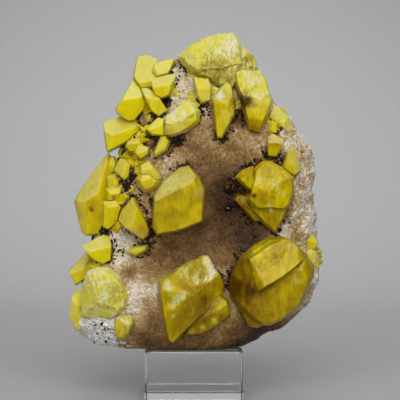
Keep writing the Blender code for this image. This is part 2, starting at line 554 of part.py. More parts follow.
for old in list(bpy.data.objects):
    bpy.data.objects.remove(old)
make_block()
make_specimen()
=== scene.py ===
"""Looks of the specimen: native sulphur crystals on drusy calcite, on a clear acrylic block.

+Z is up and the crystals face -Y. Sizes are in millimetres until a mesh is made. Outlines are
laid out in a front view, (x, z) at the scale of the mid plane y = 0, as the camera sees it, and
in_view() brings a pair to its real place at another depth.
"""

import itertools
import math

import bpy
import numpy as np
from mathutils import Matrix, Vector


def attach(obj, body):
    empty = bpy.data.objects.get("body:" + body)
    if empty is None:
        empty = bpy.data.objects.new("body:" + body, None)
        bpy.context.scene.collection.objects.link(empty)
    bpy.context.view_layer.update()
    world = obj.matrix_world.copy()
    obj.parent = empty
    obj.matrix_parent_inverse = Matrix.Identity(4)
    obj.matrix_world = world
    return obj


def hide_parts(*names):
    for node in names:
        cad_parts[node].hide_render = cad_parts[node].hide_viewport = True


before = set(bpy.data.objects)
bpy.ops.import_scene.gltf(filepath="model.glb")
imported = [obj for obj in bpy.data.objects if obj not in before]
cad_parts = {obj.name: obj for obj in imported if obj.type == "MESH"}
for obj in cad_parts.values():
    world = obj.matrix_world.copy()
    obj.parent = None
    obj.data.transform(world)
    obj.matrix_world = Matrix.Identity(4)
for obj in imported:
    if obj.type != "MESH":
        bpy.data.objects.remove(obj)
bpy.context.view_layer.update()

MM = 0.001

# Viewpoint of the front view, where the camera stands
EYE_X = 2.1
EYE_Z = 68.0
EYE_DISTANCE = 532.0
LENS, SENSOR = 136.8, 36.0

# Calcite matrix: the rim of its front view, clockwise from the top
MATRIX_CENTRE = (0.0, 66.0)
MATRIX_RIM = [
    (9.8, 123.3), (17.2, 120.5), (22.4, 112.8), (25.9, 104.8), (28.7, 100.9), (34.3, 94.6),
    (38.2, 89.0), (40.3, 83.8), (41.3, 77.8), (40.6, 71.5), (41.7, 62.8), (41.7, 54.0),
    (42.7, 46.3), (42.0, 38.3), (39.9, 33.0), (33.6, 26.4), (25.9, 22.5), (19.6, 18.7),
    (10.9, 14.8), (0.0, 13.4), (-15.4, 14.1), (-25.9, 16.6), (-34.7, 19.4), (-41.3, 22.2),
    (-42.8, 26.7), (-41.2, 33.0), (-38.9, 39.3), (-36.5, 46.3), (-35.7, 52.3), (-35.0, 56.8),
    (-33.0, 61.5), (-31.8, 66.5), (-30.2, 71.5), (-28.2, 76.5), (-26.0, 82.0), (-23.8, 88.0),
    (-21.2, 94.0), (-18.4, 100.0), (-15.5, 105.5), (-12.4, 110.5), (-8.8, 115.2), (-2.8, 119.6),
    (3.5, 122.6),
]
MATRIX_FOOT = 16.8  # height of the flat that it stands on
FRONT_BULGE = 21.0
BACK_BULGE = 19.0
FRONT_POWER = 3.2  # how squarely the front and the back meet the rim
BACK_POWER = 5.0
FOOT_POWER = 4.0  # added to both towards the foot, which is blunter
FOOT_TOP = 48.0
TOP_THINNING = 0.09  # loss of bulge per millimetre above THINNING_START
THINNING_START = 60.0
# Hills and hollows of the front: x, z, radius, height
SWELLS = [
    (14.0, 60.0, 12.0, -5.5),  # hollow between the four big crystals
    (-12.0, 50.0, 13.0, -4.0),  # hollow under the centre crystal
    (2.0, 85.0, 11.0, 2.5),
    (35.0, 68.0, 8.0, 3.0),
    (-31.0, 24.0, 9.0, 3.0),
    (-24.0, 72.0, 10.0, 3.0),
    (-16.0, 92.0, 11.0, 4.0),
    (12.0, 24.0, 11.0, 1.5),
]
# Broken planes of the back: distance behind the mid plane at the centre, slopes along x and z
BACK_BREAKS = [(17.0, 0.18, -0.10), (18.5, -0.30, 0.02), (19.0, 0.02, 0.26), (23.0, -0.05, -0.42)]
BREAK_BLEND = 1.8  # width over which one broken plane rounds into the next
LEAST_BACK = 7.0  # thickness that the broken planes leave behind the mid plane
LUMP_HEIGHT = 0.55
LUMP_WAVES = 14
LUMP_LENGTHS = (7.0, 16.0)
LUMP_SEED = 5


def rim_radius(angle):
    """Distance from MATRIX_CENTRE to the rim in each direction, changing evenly with the angle from
    one of the rim's points to the next."""
    rim = np.array(MATRIX_RIM) - MATRIX_CENTRE
    return np.interp(angle, np.arctan2(rim[:, 1], rim[:, 0]), np.hypot(*rim.T), period=math.tau)


def share_of_rim(x, z):
    """0 at the matrix's centre in the front view, 1 at its rim."""
    x = x - MATRIX_CENTRE[0]
    z = z - MATRIX_CENTRE[1]
    return np.hypot(x, z) / rim_radius(np.arctan2(z, x))


def roundness(x, z, power):
    """1 at the matrix's centre, falling to 0 at its rim: a superellipse, squarer towards the foot."""
    share = np.minimum(share_of_rim(x, z), 1.0)
    low = np.clip((FOOT_TOP - z) / (FOOT_TOP - MATRIX_FOOT), 0.0, 1.0)
    return np.sqrt(1.0 - share ** (power + FOOT_POWER * low))


def front_depth(x, z):
    """How far the matrix's front stands before the mid plane: a rounded shield, thinner towards the
    top, plus the swells, each height x exp(-(distance / radius)^2)."""
    bulge = FRONT_BULGE - TOP_THINNING * np.maximum(z - THINNING_START, 0.0)
    depth = bulge * roundness(x, z, FRONT_POWER)
    for at_x, at_z, radius, height in SWELLS:
        reach = ((x - at_x) ** 2 + (z - at_z) ** 2) / radius**2
        depth = depth + height * np.exp(-reach) * roundness(x, z, BACK_POWER)
    return depth


def back_depth(x, z):
    """How far the back stands behind the mid plane: the smooth least of a flat shield and the broken
    planes, -blend x ln(sum of exp(-depth / blend))."""
    bulge = BACK_BULGE - TOP_THINNING * np.maximum(z - THINNING_START, 0.0)
    total = np.exp(-bulge / BREAK_BLEND)
    for distance, slope_x, slope_z in BACK_BREAKS:
        plane = distance + slope_x * (x - MATRIX_CENTRE[0]) + slope_z * (z - MATRIX_CENTRE[1])
        total = total + np.exp(-np.maximum(plane, LEAST_BACK) / BREAK_BLEND)
    return -BREAK_BLEND * np.log(total) * roundness(x, z, BACK_POWER)


def lumps(points):
    """Low lumps over the matrix: waves of random direction, length and phase, added together."""
    random = np.random.default_rng(LUMP_SEED)
    total = np.zeros(len(points))
    for _ in range(LUMP_WAVES):
        direction = random.normal(size=3)
        length = random.uniform(*LUMP_LENGTHS)
        wave = points @ (direction / np.linalg.norm(direction)) * math.tau / length
        total += np.sin(wave + random.uniform(0.0, math.tau))
    return LUMP_HEIGHT * total / math.sqrt(LUMP_WAVES)


def blown_up(corners):
    """The matrix's points from those of a cube of side 2, as (n, 3) arrays: the cube becomes a ball, in
    the directions of tan(45 degrees x corner), and the ball the matrix, its great circle y = 0
    becoming the rim."""
    ball = np.tan(corners * math.pi / 4)
    ball /= np.linalg.norm(ball, axis=1, keepdims=True)
    angle = np.arctan2(ball[:, 2], ball[:, 0])
    reach = np.hypot(ball[:, 0], ball[:, 2]) * rim_radius(angle)
    x = MATRIX_CENTRE[0] + reach * np.cos(angle)
    z = MATRIX_CENTRE[1] + reach * np.sin(angle)
    y = np.where(ball[:, 1] < 0.0, -front_depth(x, z), back_depth(x, z))
    return np.stack([x, y, z], axis=1)


def in_view(x, z, y):
    """The real (x, z) at depth y of a point that the front view shows at (x, z)."""
    scale = 1.0 + y / EYE_DISTANCE
    return EYE_X + (x - EYE_X) * scale, EYE_Z + (z - EYE_Z) * scale


def front_view(points):
    """Where the front view shows each point, as arrays of x and z: the reverse of in_view()."""
    scale = 1.0 + points[:, 1] / EYE_DISTANCE
    return EYE_X + (points[:, 0] - EYE_X) / scale, EYE_Z + (points[:, 2] - EYE_Z) / scale


def body(outline, apex, stand, faces, lift=0.0, root=7.0, taper=8.0, chips=(0, 0), behind=False):
    """One convex body of a crystal.

    outline  its front view, the widest section
    apex     the front view's place of its foremost corner
    stand    how far the apex stands out of the matrix there
    faces    front faces: direction round the view and lean from it, in degrees, and how far
             from the apex each begins
    lift     how far before the matrix's surface the widest section lies
    root     how far behind the widest section the body goes
    taper    lean of the sides towards the front, in degrees
    chips    count and seed of small broken faces round the front
    behind   True for a body on the matrix's back, laid out in the same front view
    """
    return {
        "outline": outline, "apex": apex, "stand": stand, "faces": faces,
        "lift": lift, "root": root, "taper": taper, "chips": chips, "behind": behind,
    }


CRYSTALS = {
    "crystal_centre": [
        body([(-14.4, 69.5), (-10.9, 74.6), (-5.3, 79.2), (-1.8, 80.2), (2.3, 76.0), (4.1, 71.5),
              (3.4, 60.3), (-4.9, 57.0), (-13.2, 55.5), (-14.8, 58.2)],
             (-6.0, 71.5), 10.5, [(118, 50, 0), (-66, 9, 0), (12, 52, 5.8), (-96, 40, 12.8)],
             lift=1.5, taper=6, root=10),
    ],
    "crystal_lower_right": [
        body([(12.0, 38.4), (13.2, 43.5), (15.8, 47.9), (20.4, 52.2), (26.2, 55.2), (31.0, 55.6),
              (36.6, 52.6), (39.3, 49.4), (42.2, 45.6), (42.4, 41.8), (39.3, 34.6), (37.2, 30.9),
              (32.6, 26.8), (27.1, 24.0), (24.0, 23.8), (19.9, 26.0), (15.4, 29.9), (12.4, 34.5)],
             (24.5, 40.5), 10.5,
             [(-68, 14, 0), (174, 44, 4.0), (88, 22, 2), (-132, 40, 9.0), (8, 40, 12.5)],
             lift=3, taper=15, root=13),
        body([(18.0, 48.2), (19.3, 50.6), (25.9, 53.2), (29.8, 55.8), (33.4, 54.8), (37.4, 51.6),
              (39.0, 47.2), (38.0, 44.6), (31.9, 41.0), (25.8, 35.8), (21.4, 35.4), (19.4, 41.3)],
             (26.5, 46.0), 13.0, [(80, 12, 0), (98, 48, 5.8), (16, 45, 9.0), (196, 38, 6.0)],
             lift=6, taper=8, root=9),
        body([(15.2, 30.4), (19.6, 32.0), (24.2, 27.0), (24.4, 24.2), (22.4, 23.0), (18.4, 23.6)],
             (19.0, 26.4), 5.0, [(-110, 20, 0), (60, 20, 0)], lift=1, taper=12),
    ],
    "crystal_lower_centre": [
        body([(-12.6, 42.0), (-3.5, 46.0), (1.7, 49.3), (5.3, 48.9), (8.7, 43.6), (11.2, 38.4),
              (9.7, 33.6), (4.0, 28.2), (-7.4, 17.4), (-9.4, 19.1), (-11.2, 27.1), (-12.8, 36.7)],
             (-2.5, 35.0), 11.0,
             [(-108, 14, 0), (80, 28, 0), (-20, 40, 2.5), (168, 46, 8), (44, 46, 9.5)],
             lift=2, root=11),
        body([(-3.6, 20.4), (-1.0, 30.0), (9.0, 35.6), (12.2, 33.5), (13.2, 28.2), (8.0, 23.8),
              (2.4, 21.0)],
             (6.0, 28.0), 5.8, [(-60, 32, 0), (120, 10, 0)], lift=1.5, taper=12, root=9),
    ],
    "crystal_right": [
        body([(18.9, 73.3), (20.7, 79.2), (23.8, 82.0), (26.8, 82.0), (31.2, 79.6), (35.1, 76.1),
              (35.4, 71.3), (33.6, 65.7), (31.5, 63.8), (21.0, 63.6), (17.7, 67.8)],
             (26.0, 70.0), 12.0, [(95, 22, 1), (-28, 24, 0), (-150, 20, 0), (176, 44, 5.5), (48, 40, 8.5)],
             lift=3, taper=11, root=12),
        body([(17.6, 68.4), (25.0, 71.5), (33.6, 66.9), (31.6, 61.6), (28.4, 56.0), (24.6, 58.9),
              (20.0, 63.7)],
             (26.8, 65.5), 9.6, [(-28, 32, 0), (-142, 32, 0), (-80, 20, 0)], lift=2, taper=10, root=10),
        body([(14.0, 75.9), (16.5, 78.7), (21.0, 80.2), (22.0, 72.0), (20.0, 70.0), (16.6, 73.2)],
             (18.5, 76.0), 8.5, [(135, 25, 0), (-60, 10, 0)], lift=2, taper=8, root=9),
        body([(13.6, 68.1), (15.0, 70.4), (20.0, 70.0), (26.0, 63.0), (24.0, 60.0), (21.0, 60.2)],
             (18.2, 66.4), 5.0, [(-130, 26, 0), (60, 12, 0)], lift=1, taper=10, root=8),
    ],
    "crystal_left_edge": [
        body([(-29.4, 84.6), (-30.6, 84.8), (-39.6, 71.9), (-42.3, 67.3), (-41.3, 63.6), (-40.4, 58.5),
              (-39.6, 56.4), (-37.4, 55.2), (-31.5, 55.8), (-28.0, 62.0), (-27.0, 74.0), (-27.5, 82.0)],
             (-35.6, 69.2), 11.5,
             [(128, 42, 0), (-88, 8, 0), (-84, 40, 10.8), (18, 48, 2.6), (196, 44, 3.4)],
             lift=5, root=15, taper=9),
    ],
    "crystal_left_sliver": [
        body([(-30.7, 77.7), (-29.6, 83.2), (-27.6, 83.4), (-26.6, 80.9), (-27.6, 76.8)],
             (-28.9, 80.2), 6.5, [(60, 22, 0), (-120, 20, 0)], lift=1.5, root=9),
    ],
    "crystal_upper_left": [
        body([(-21.2, 110.4), (-27.9, 99.4), (-26.0, 97.0), (-23.0, 95.1), (-20.3, 95.3), (-17.0, 99.1),
              (-16.0, 101.3), (-18.2, 106.6)],
             (-21.9, 103.5), 12.5, [(96, 40, 0), (-84, 10, 0), (14, 48, 3.6)], lift=6, root=14, taper=7),
        body([(-19.7, 118.3), (-16.2, 118.7), (-12.5, 117.1), (-11.6, 111.4), (-13.7, 106.5),
              (-18.8, 106.0), (-21.5, 110.5), (-20.7, 115.1)],
             (-17.2, 109.3), 10.5, [(94, 30, 0), (-74, 24, 0), (180, 44, 3.4)], lift=4, root=12, taper=8),
        body([(-14.6, 115.0), (-12.7, 116.7), (-9.8, 118.9), (-7.7, 117.7), (-5.9, 118.2), (-6.7, 115.0),
              (-8.1, 111.0), (-13.0, 109.4), (-15.4, 112.0)],
             (-10.7, 112.4), 8.5, [(84, 32, 0), (-50, 16, 0), (172, 40, 2.2)], lift=3, root=10, taper=8),
        body([(-15.0, 110.3), (-8.8, 112.2), (-6.0, 112.5), (-7.2, 108.4), (-8.8, 104.1), (-11.3, 103.2),
              (-13.6, 104.2), (-14.8, 107.2)],
             (-11.6, 107.8), 11.0, [(99, 54, 0), (-80, 7, 0), (10, 46, 2.6)], lift=5, root=11, taper=5),
        body([(-18.5, 107.1), (-14.0, 107.4), (-11.9, 103.9), (-9.3, 101.8), (-8.9, 99.2), (-12.2, 96.8),
              (-15.0, 98.8), (-16.4, 101.6)],
             (-14.2, 103.4), 10.4, [(78, 52, 0), (-56, 8, 0), (202, 56, 1.9)], lift=4, root=11, taper=6),
    ],
    "crystal_left_upper": [
        body([(-31.8, 94.8), (-30.8, 95.7), (-25.9, 97.2), (-19.1, 95.9), (-18.4, 93.0), (-18.6, 90.0),
              (-23.4, 87.6), (-27.8, 83.9), (-30.2, 83.6), (-31.2, 87.3)],
             (-24.4, 92.0), 11.0, [(106, 42, 0), (-54, 14, 0), (178, 34, 4.4)], lift=5, root=13, taper=7),
    ],
    "crystals_left_pair": [
        body([(-23.2, 88.7), (-18.4, 90.6), (-18.0, 87.1), (-20.0, 84.4), (-22.6, 84.6), (-24.2, 86.8)],
             (-20.6, 87.8), 6.2, [(90, 25, 0), (-70, 15, 0)], lift=2, root=10, taper=7),
        body([(-19.6, 87.6), (-15.4, 86.6), (-15.7, 83.9), (-18.6, 81.9), (-21.0, 84.3)],
             (-17.8, 84.8), 5.8, [(100, 30, 0), (-60, 15, 0)], lift=2, root=9, taper=7),
    ],
    "crystal_top_small": [
        body([(-0.8, 111.2), (5.5, 111.0), (6.6, 107.6), (6.1, 102.3), (2.6, 101.2), (0.7, 104.0)],
             (3.4, 107.0), 7.0, [(90, 25, 0), (-86, 10, 0), (180, 30, 2)], lift=2, root=9, taper=8),
    ],
    "crystal_top": [
        body([(-6.2, 118.1), (-1.8, 122.4), (3.4, 125.1), (8.4, 126.5), (14.1, 126.9), (16.8, 123.2),
              (18.5, 114.0), (10.0, 110.6), (0.2, 110.2), (-3.9, 114.2)],
             (7.0, 116.0), 9.0, [(96, 30, 1), (-80, 14, 0), (168, 30, 5), (14, 34, 5.5)],
             lift=2, root=14, taper=13, chips=(9, 3)),
        body([(14.0, 123.4), (18.4, 121.0), (22.2, 118.7), (22.7, 115.7), (24.0, 113.3), (20.0, 110.0),
              (12.4, 110.5)],
             (17.8, 115.5), 7.4, [(58, 32, 0), (-70, 16, 0), (180, 18, 3)], lift=2, root=12, taper=12,
             chips=(4, 8)),
        body([(-0.5, 112.5), (5.8, 108.6), (9.4, 106.8), (14.2, 106.6), (18.0, 110.0), (18.5, 115.0),
              (8.0, 118.0), (0.0, 116.0)],
             (9.5, 111.6), 6.4, [(-90, 26, 0), (90, 14, 0), (175, 30, 4)], lift=2, root=12, taper=16,
             chips=(5, 7)),
        body([(12.7, 112.3), (16.3, 114.0), (23.4, 113.8), (25.8, 110.3), (27.8, 102.5), (25.8, 96.9),
              (22.8, 91.3), (18.6, 92.4), (16.7, 94.4), (15.5, 98.9), (14.4, 103.2), (14.1, 107.8)],
             (20.0, 103.0), 11.0, [(74, 30, 1.5), (-90, 12, 0), (176, 36, 3.6), (-4, 34, 3.6)],
             lift=3, root=12, chips=(7, 11)),
    ],
    "crystal_rim_crust": [
        body([(24.6, 96.4), (27.3, 102.3), (30.8, 99.9), (33.5, 97.1), (35.4, 92.5), (33.0, 90.6),
              (27.4, 94.3)],
             (29.6, 96.4), 4.6, [(45, 26, 0), (-110, 14, 0)], lift=0.5, root=8, taper=14, chips=(5, 12)),
    ],
    "crystal_spike": [
        body([(5.7, 103.8), (9.4, 108.0), (11.3, 110.4), (13.6, 107.9), (14.9, 102.8), (14.5, 97.6),
              (10.0, 89.2), (7.8, 89.0), (7.0, 93.2), (6.4, 98.9)],
             (10.4, 100.6), 9.0, [(-100, 12, 0), (94, 26, 2), (183, 32, 1.0), (-8, 38, 1.4)], lift=2.5,
             root=10, taper=7),
    ],
    "crystal_broken_ridge": [
        body([(-11.0, 96.8), (-4.1, 102.6), (-1.8, 103.2), (0.7, 101.6), (2.4, 99.2), (2.0, 95.0),
              (-2.7, 91.3), (-7.7, 89.4), (-11.4, 89.9)],
             (-4.0, 96.5), 9.0, [(118, 30, 0), (-60, 26, 0), (-150, 24, 4), (20, 30, 4)], lift=2, root=10,
             taper=11, chips=(5, 21)),
        body([(-17.2, 92.6), (-12.7, 97.0), (-10.0, 96.4), (-9.8, 89.8), (-14.8, 90.2)],
             (-13.4, 93.4), 6.8, [(112, 42, 0), (-65, 14, 0)], lift=1, root=8, taper=8),
    ],
    "crystal_blade": [
        body([(-11.8, 90.4), (-9.6, 90.8), (-8.0, 88.4), (-9.3, 85.3), (-13.7, 82.7), (-14.4, 84.6)],
             (-11.2, 87.2), 5.4, [(150, 22, 0), (-35, 14, 0)], lift=1, taper=10),
    ],
    "crystal_left_flagged": [
        body([(-28.2, 78.5), (-26.0, 82.6), (-24.1, 82.4), (-21.5, 80.8), (-22.1, 75.9), (-24.2, 74.0),
              (-25.7, 75.6)],
             (-24.6, 78.6), 7.6, [(160, 36, 0), (-12, 34, 0.6), (-92, 34, 3.6)], lift=2, taper=8, root=9),
    ],
    "crystals_left_middle": [
        body([(-31.0, 76.5), (-28.0, 77.4), (-24.9, 76.3), (-24.0, 72.4), (-27.4, 69.8), (-31.0, 70.5)],
             (-27.5, 74.0), 5.6, [(60, 28, 0), (-140, 24, 0), (-50, 20, 0)],
             lift=1, taper=13, chips=(4, 31)),
        body([(-31.2, 71.9), (-28.5, 73.0), (-24.3, 72.6), (-24.6, 69.8), (-26.7, 67.0), (-30.4, 66.9)],
             (-27.9, 70.2), 7.2, [(80, 20, 0), (-60, 18, 0), (180, 28, 1.6)], lift=2, taper=14, root=9),
        body([(-31.9, 67.6), (-26.9, 68.4), (-24.9, 65.4), (-26.6, 60.0), (-29.9, 57.6), (-31.9, 58.4)],
             (-28.4, 65.6), 6.6, [(96, 28, 0), (-80, 14, 0), (185, 34, 2)], lift=2, taper=8, root=9),
    ],
    "crystal_prism": [
        body([(-23.3, 67.2), (-21.8, 69.1), (-20.8, 68.8), (-18.1, 64.4), (-16.7, 60.9), (-15.5, 57.7),
              (-15.7, 55.5), (-18.0, 53.8), (-21.2, 53.9), (-24.5, 58.2), (-27.0, 59.8), (-25.5, 64.4)],
             (-20.8, 62.6), 8.4, [(158, 36, 0), (-14, 36, 0.2), (-84, 28, 4.2)], lift=2, taper=7, root=9),
    ],
    "crystals_hexagonal": [
        body([(-20.7, 75.3), (-18.9, 77.5), (-15.1, 78.0), (-11.6, 74.6), (-12.8, 72.2), (-15.4, 70.4),
              (-17.7, 70.6), (-19.7, 72.7)],
             (-16.3, 75.0), 6.6, [(100, 14, 0), (-70, 20, 0), (180, 32, 2)], lift=1, taper=16, root=8),
        body([(-19.1, 76.8), (-19.1, 80.1), (-16.2, 82.1), (-14.9, 81.2), (-12.4, 78.1), (-11.1, 75.4),
              (-13.0, 74.0)],
             (-15.6, 78.8), 5.0, [(95, 26, 0), (-80, 10, 0)], lift=1, taper=12),
    ],
    "crystal_corner_small": [
        body([(25.3, 90.2), (27.7, 91.3), (31.6, 89.3), (30.8, 86.0), (28.9, 82.9), (25.7, 83.2),
              (25.3, 87.1)],
             (28.2, 88.0), 6.2, [(85, 40, 0), (-85, 8, 0)], lift=2, taper=7),
    ],
    "crystal_corner_blade": [
        body([(29.3, 83.3), (32.2, 84.9), (33.2, 88.5), (35.0, 88.5), (37.6, 78.4), (34.9, 76.0),
              (32.1, 78.0), (29.4, 80.7)],
             (33.4, 81.5), 6.2, [(20, 44, 0.6), (-140, 12, 0), (160, 30, 2)], lift=2, taper=8, root=8),
    ],
    "crystal_left_wedge": [
        body([(-39.4, 52.0), (-29.6, 57.1), (-28.4, 52.0), (-28.7, 47.0), (-31.6, 45.4), (-34.9, 46.9),
              (-38.0, 49.6)],
             (-33.2, 50.6), 8.2, [(104, 46, 0), (-75, 12, 0), (200, 44, 3.4)], lift=3, root=12, taper=6),
    ],
    "crystal_left_corner": [
        body([(-44.0, 43.2), (-41.8, 45.5), (-37.7, 49.6), (-35.0, 47.6), (-35.6, 44.0), (-36.9, 41.0),
              (-41.4, 37.8)],
             (-40.2, 43.4), 8.0, [(118, 40, 0), (-80, 12, 0), (20, 32, 1.8)], lift=3, root=13, taper=7),
    ],
    "crystal_broken_left": [
        body([(-37.8, 43.0), (-34.4, 44.9), (-29.6, 44.9), (-25.3, 41.2), (-22.9, 36.7), (-22.5, 33.5),
              (-23.8, 29.4), (-27.6, 26.8), (-35.0, 25.0), (-40.5, 27.1), (-40.5, 36.0)],
             (-31.0, 36.5), 7.8, [(80, 24, 2), (-20, 24, 2), (-95, 20, 2), (170, 26, 3), (0, 4, 0)],
             lift=1.5, root=12, taper=15, chips=(10, 41)),
        body([(-43.0, 34.3), (-41.0, 36.8), (-36.0, 36.5), (-36.0, 24.6), (-41.0, 22.4), (-44.0, 26.9)],
             (-40.2, 31.5), 7.0, [(120, 24, 0), (-80, 16, 0), (185, 36, 1)], lift=3, root=12, taper=10),
    ],
    "crystal_green_small": [
        body([(-27.8, 27.7), (-24.4, 28.5), (-21.0, 27.7), (-20.1, 25.1), (-21.8, 22.1), (-23.8, 18.8),
              (-27.3, 19.2), (-28.3, 23.1)],
             (-24.3, 24.2), 5.4, [(60, 26, 0), (-45, 26, 0), (-160, 24, 0)],
             lift=1, taper=13, chips=(4, 51)),
    ],
    "crystal_sunken": [
        body([(-24.8, 50.0), (-20.3, 52.1), (-15.8, 52.6), (-16.4, 50.2), (-20.3, 48.1)],
             (-20.3, 50.4), 3.4, [(100, 30, 0), (-85, 12, 0)], lift=0.5, taper=16),
    ],
    "crystal_right_edge": [
        body([(38.9, 56.0), (41.0, 56.3), (42.2, 55.4), (43.7, 53.2), (42.3, 50.6), (38.9, 50.3)],
             (41.2, 53.6), 6.5, [(60, 34, 0), (-70, 18, 0)], lift=3, root=10, taper=8),
    ],
    "crystal_right_edge_low": [
        body([(38.6, 50.2), (40.7, 51.5), (42.9, 50.1), (42.6, 44.6), (40.0, 45.6)],
             (41.0, 49.0), 6.0, [(150, 30, 0), (-40, 22, 0)], lift=2.5, root=10, taper=8),
    ],
    "crystals_back_upper": [
        body([(1.0, 95.0), (4.0, 99.5), (10.5, 98.0), (15.5, 92.0), (13.0, 85.5), (5.0, 84.0)],
             (7.5, 92.5), 5.5, [(70, 36, 0), (-95, 14, 0), (165, 32, 3)], lift=0.5, root=8, taper=11,
             behind=True),
        body([(12.0, 88.0), (17.5, 89.0), (20.0, 84.0), (15.5, 80.0), (11.0, 83.0)],
             (15.5, 85.0), 4.0, [(50, 30, 0), (-110, 20, 0)], lift=0.5, taper=12, behind=True),
    ],
    "crystals_back_lower": [
        body([(-24.0, 48.0), (-18.0, 53.5), (-10.0, 50.5), (-8.0, 43.5), (-12.5, 37.0), (-21.0, 38.5)],
             (-17.0, 46.0), 6.5, [(105, 36, 0), (-66, 12, 0), (190, 34, 3.5)], lift=1, root=9, taper=12,
             behind=True),
        body([(-11.0, 42.5), (-6.0, 44.0), (-3.0, 39.0), (-6.5, 34.5), (-11.5, 36.5)],
             (-7.5, 40.0), 4.5, [(85, 34, 0), (-80, 14, 0)], lift=0.5, taper=10, behind=True),
    ],
}
BACK_TAPER = 14.0  # lean of every body's sides towards its back
SEAM = 0.02  # corners closer than this are one
CHIP_LEAN = (28.0, 52.0)
CHIP_BEGINS = (0.35, 0.75)  # shares of the outline's mean radius


def turned(direction, lean):
    """A unit vector towards the viewer, leaned away by lean in that direction round the view."""
    direction, lean = math.radians(direction), math.radians(lean)
    out = math.sin(lean)
    return np.array([out * math.cos(direction), -math.cos(lean), out * math.sin(direction)])


def side_planes(body, girdle):
    """Two planes through each edge of the outline: one leans in towards the front, one towards the back."""
    outline = np.array([in_view(x, z, girdle) for x, z in body["outline"]])
    middle = outline.mean(axis=0)
    planes = []
    for start, end in zip(outline, np.roll(outline, -1, axis=0)):
        along = (end - start) / np.hypot(*(end - start))
        out = np.array([along[1], -along[0]])
        out = out if out @ (start - middle) > 0 else -out
        for lean in (body["taper"], -BACK_TAPER):
            lean = math.radians(lean)
            normal = np.array([math.cos(lean) * out[0], -math.sin(lean), math.cos(lean) * out[1]])
            planes.append((np.array([start[0], girdle, start[1]]), normal))
    return planes, middle, np.hypot(*(outline - middle).T).mean()


def front_planes(body, apex, radius):
    """The named faces and the seeded chips, each beginning at its distance from the apex."""
    faces = list(body["faces"])
    count, seed = body["chips"]
    random = np.random.default_rng(seed)
    for i in range(count):
        direction = 360.0 * (i + random.uniform(-0.3, 0.3)) / count
        faces.append((direction, random.uniform(*CHIP_LEAN), radius * random.uniform(*CHIP_BEGINS)))
    planes = []
    for direction, lean, begins in faces:
        start = apex + begins * turned(direction, 90.0)
        planes.append((start, turned(direction, lean)))
    return planes


def planes_of(body):
    """The faces of a body as (point, outward normal), and a point inside it, in millimetres."""
    depth = back_depth if body["behind"] else front_depth
    middle = np.mean(body["outline"], axis=0)
    girdle = -(float(depth(*middle)) + body["lift"])
    apex_y = -(float(depth(*body["apex"])) + body["stand"])
    apex_x, apex_z = in_view(*body["apex"], apex_y)
    planes, centre, radius = side_planes(body, girdle)
    planes += front_planes(body, np.array([apex_x, apex_y, apex_z]), radius)
    planes.append((np.array([centre[0], girdle + body["root"], centre[1]]), np.array([0.0, 1.0, 0.0])))
    inside = np.array([centre[0], girdle, centre[1]])
    if body["behind"]:
        facing = np.array([1.0, -1.0, 1.0])
        planes = [(point * facing, normal * facing) for point, normal in planes]
        inside = inside * facing
    return planes, inside


# The faces of every body of every crystal
BODY_PLANES = [planes_of(body)[0] for bodies in CRYSTALS.values() for body in bodies]

# Visual grids
MATRIX_SQUARES = 118  # along each edge of the cube that the matrix is blown up from
CLEAN_STEP = 0.9  # grid step on whole crystal faces
# Squares for each millimetre of a broken crystal's radius, along each edge of the cube that it is
# blown up from, and the fewest and the most of them
BROKEN_SQUARES = 5.0
LEAST_SQUARES, MOST_SQUARES = 28, 80
EDGE_RINGS = (0.0, 0.1, 0.3)  # distances of the first rings of a face from its outline
RINGS_WITHIN = 0.6  # share of the face's radius that they stay within
EDGE_POWER = 150.0  # the higher, the crisper a crystal's edges
BROKEN_POWER = 100.0  # the same for a broken one
ASKEW = (0.31, 0.52, 0.8)  # a direction along which no face looks
BURIED = 0.1  # how far a face's unit normal points back into the matrix where the face lies in it
PARALLEL = 1e-5  # determinant of three normals below which their planes meet in no one corner
ROUNDING = 1e-6  # how far outside a plane a corner that lies on it may come out
WELD = 1e-4  # points closer than this are one
CREASE, BROKEN_CREASE = 24.0, 14.0  # degrees from which an edge is shaded sharp, and on a broken one

# Surface of the sulphur
BROKEN_FROM = 0.12  # depth of breaking from which a crystal counts as broken
DIRTY_FROM = 0.3  # from which dirt lies in its deepest breaks
CRUSHED_FROM = 0.4  # and from which it counts as crushed
CELL, BROKEN_CELL, SPLINTER_CELL = 6.0, 3.4, 1.7  # widths of the small flat faces
CELL_LAYERS = [(0.65, 1.0), (0.35, 0.42)]  # the two sizes of cell: share of the depth, share of the width
TILT, STEP, DEEPEST = 1.1, 0.5, 1.2  # slope of a cell's plane, its step from the next, and the limit
SHEEN_FACING = np.array([-0.3, -0.12, 0.95])  # crystal faces turned this way, mostly up, are drawn paler: a painted sheen
SHEEN_FROM, SHEEN_OVER = 0.3, 0.4  # cosine of the angle from there at which it begins, and over what
PAINTED_SHEEN, CRUSHED_SHEEN = 0.55, 0.2  # how much paler the painted sheen makes whole and crushed faces
SPLINTERS = np.array([0.5, 0.1, 0.86])  # crushed sulphur breaks into splinters along this way
DRAWN_OUT = 0.7  # how much of their own length the splinters' cells are shortened by
PATCH_SPLINTERS, BODY_SPLINTERS = 1.4, 0.45  # their depth, as shares of a patch's and a body's breaking
MOTTLE_CELL = 0.9  # width of their own pale tones, as a share of SPLINTER_CELL
MOTTLE, MOST_MOTTLED = 0.6, 0.6  # how unlike those are, and the breaking beyond which it stays so
DEEP_SPLINTERS = 0.4  # share of the splinters that are the less pale ones
DIRT, MOST_DIRT = 1.2, 0.4  # how amber the dirt is where a break is deeper than usual, and the limit
STRONGEST = 1.6  # limit of pale and amber

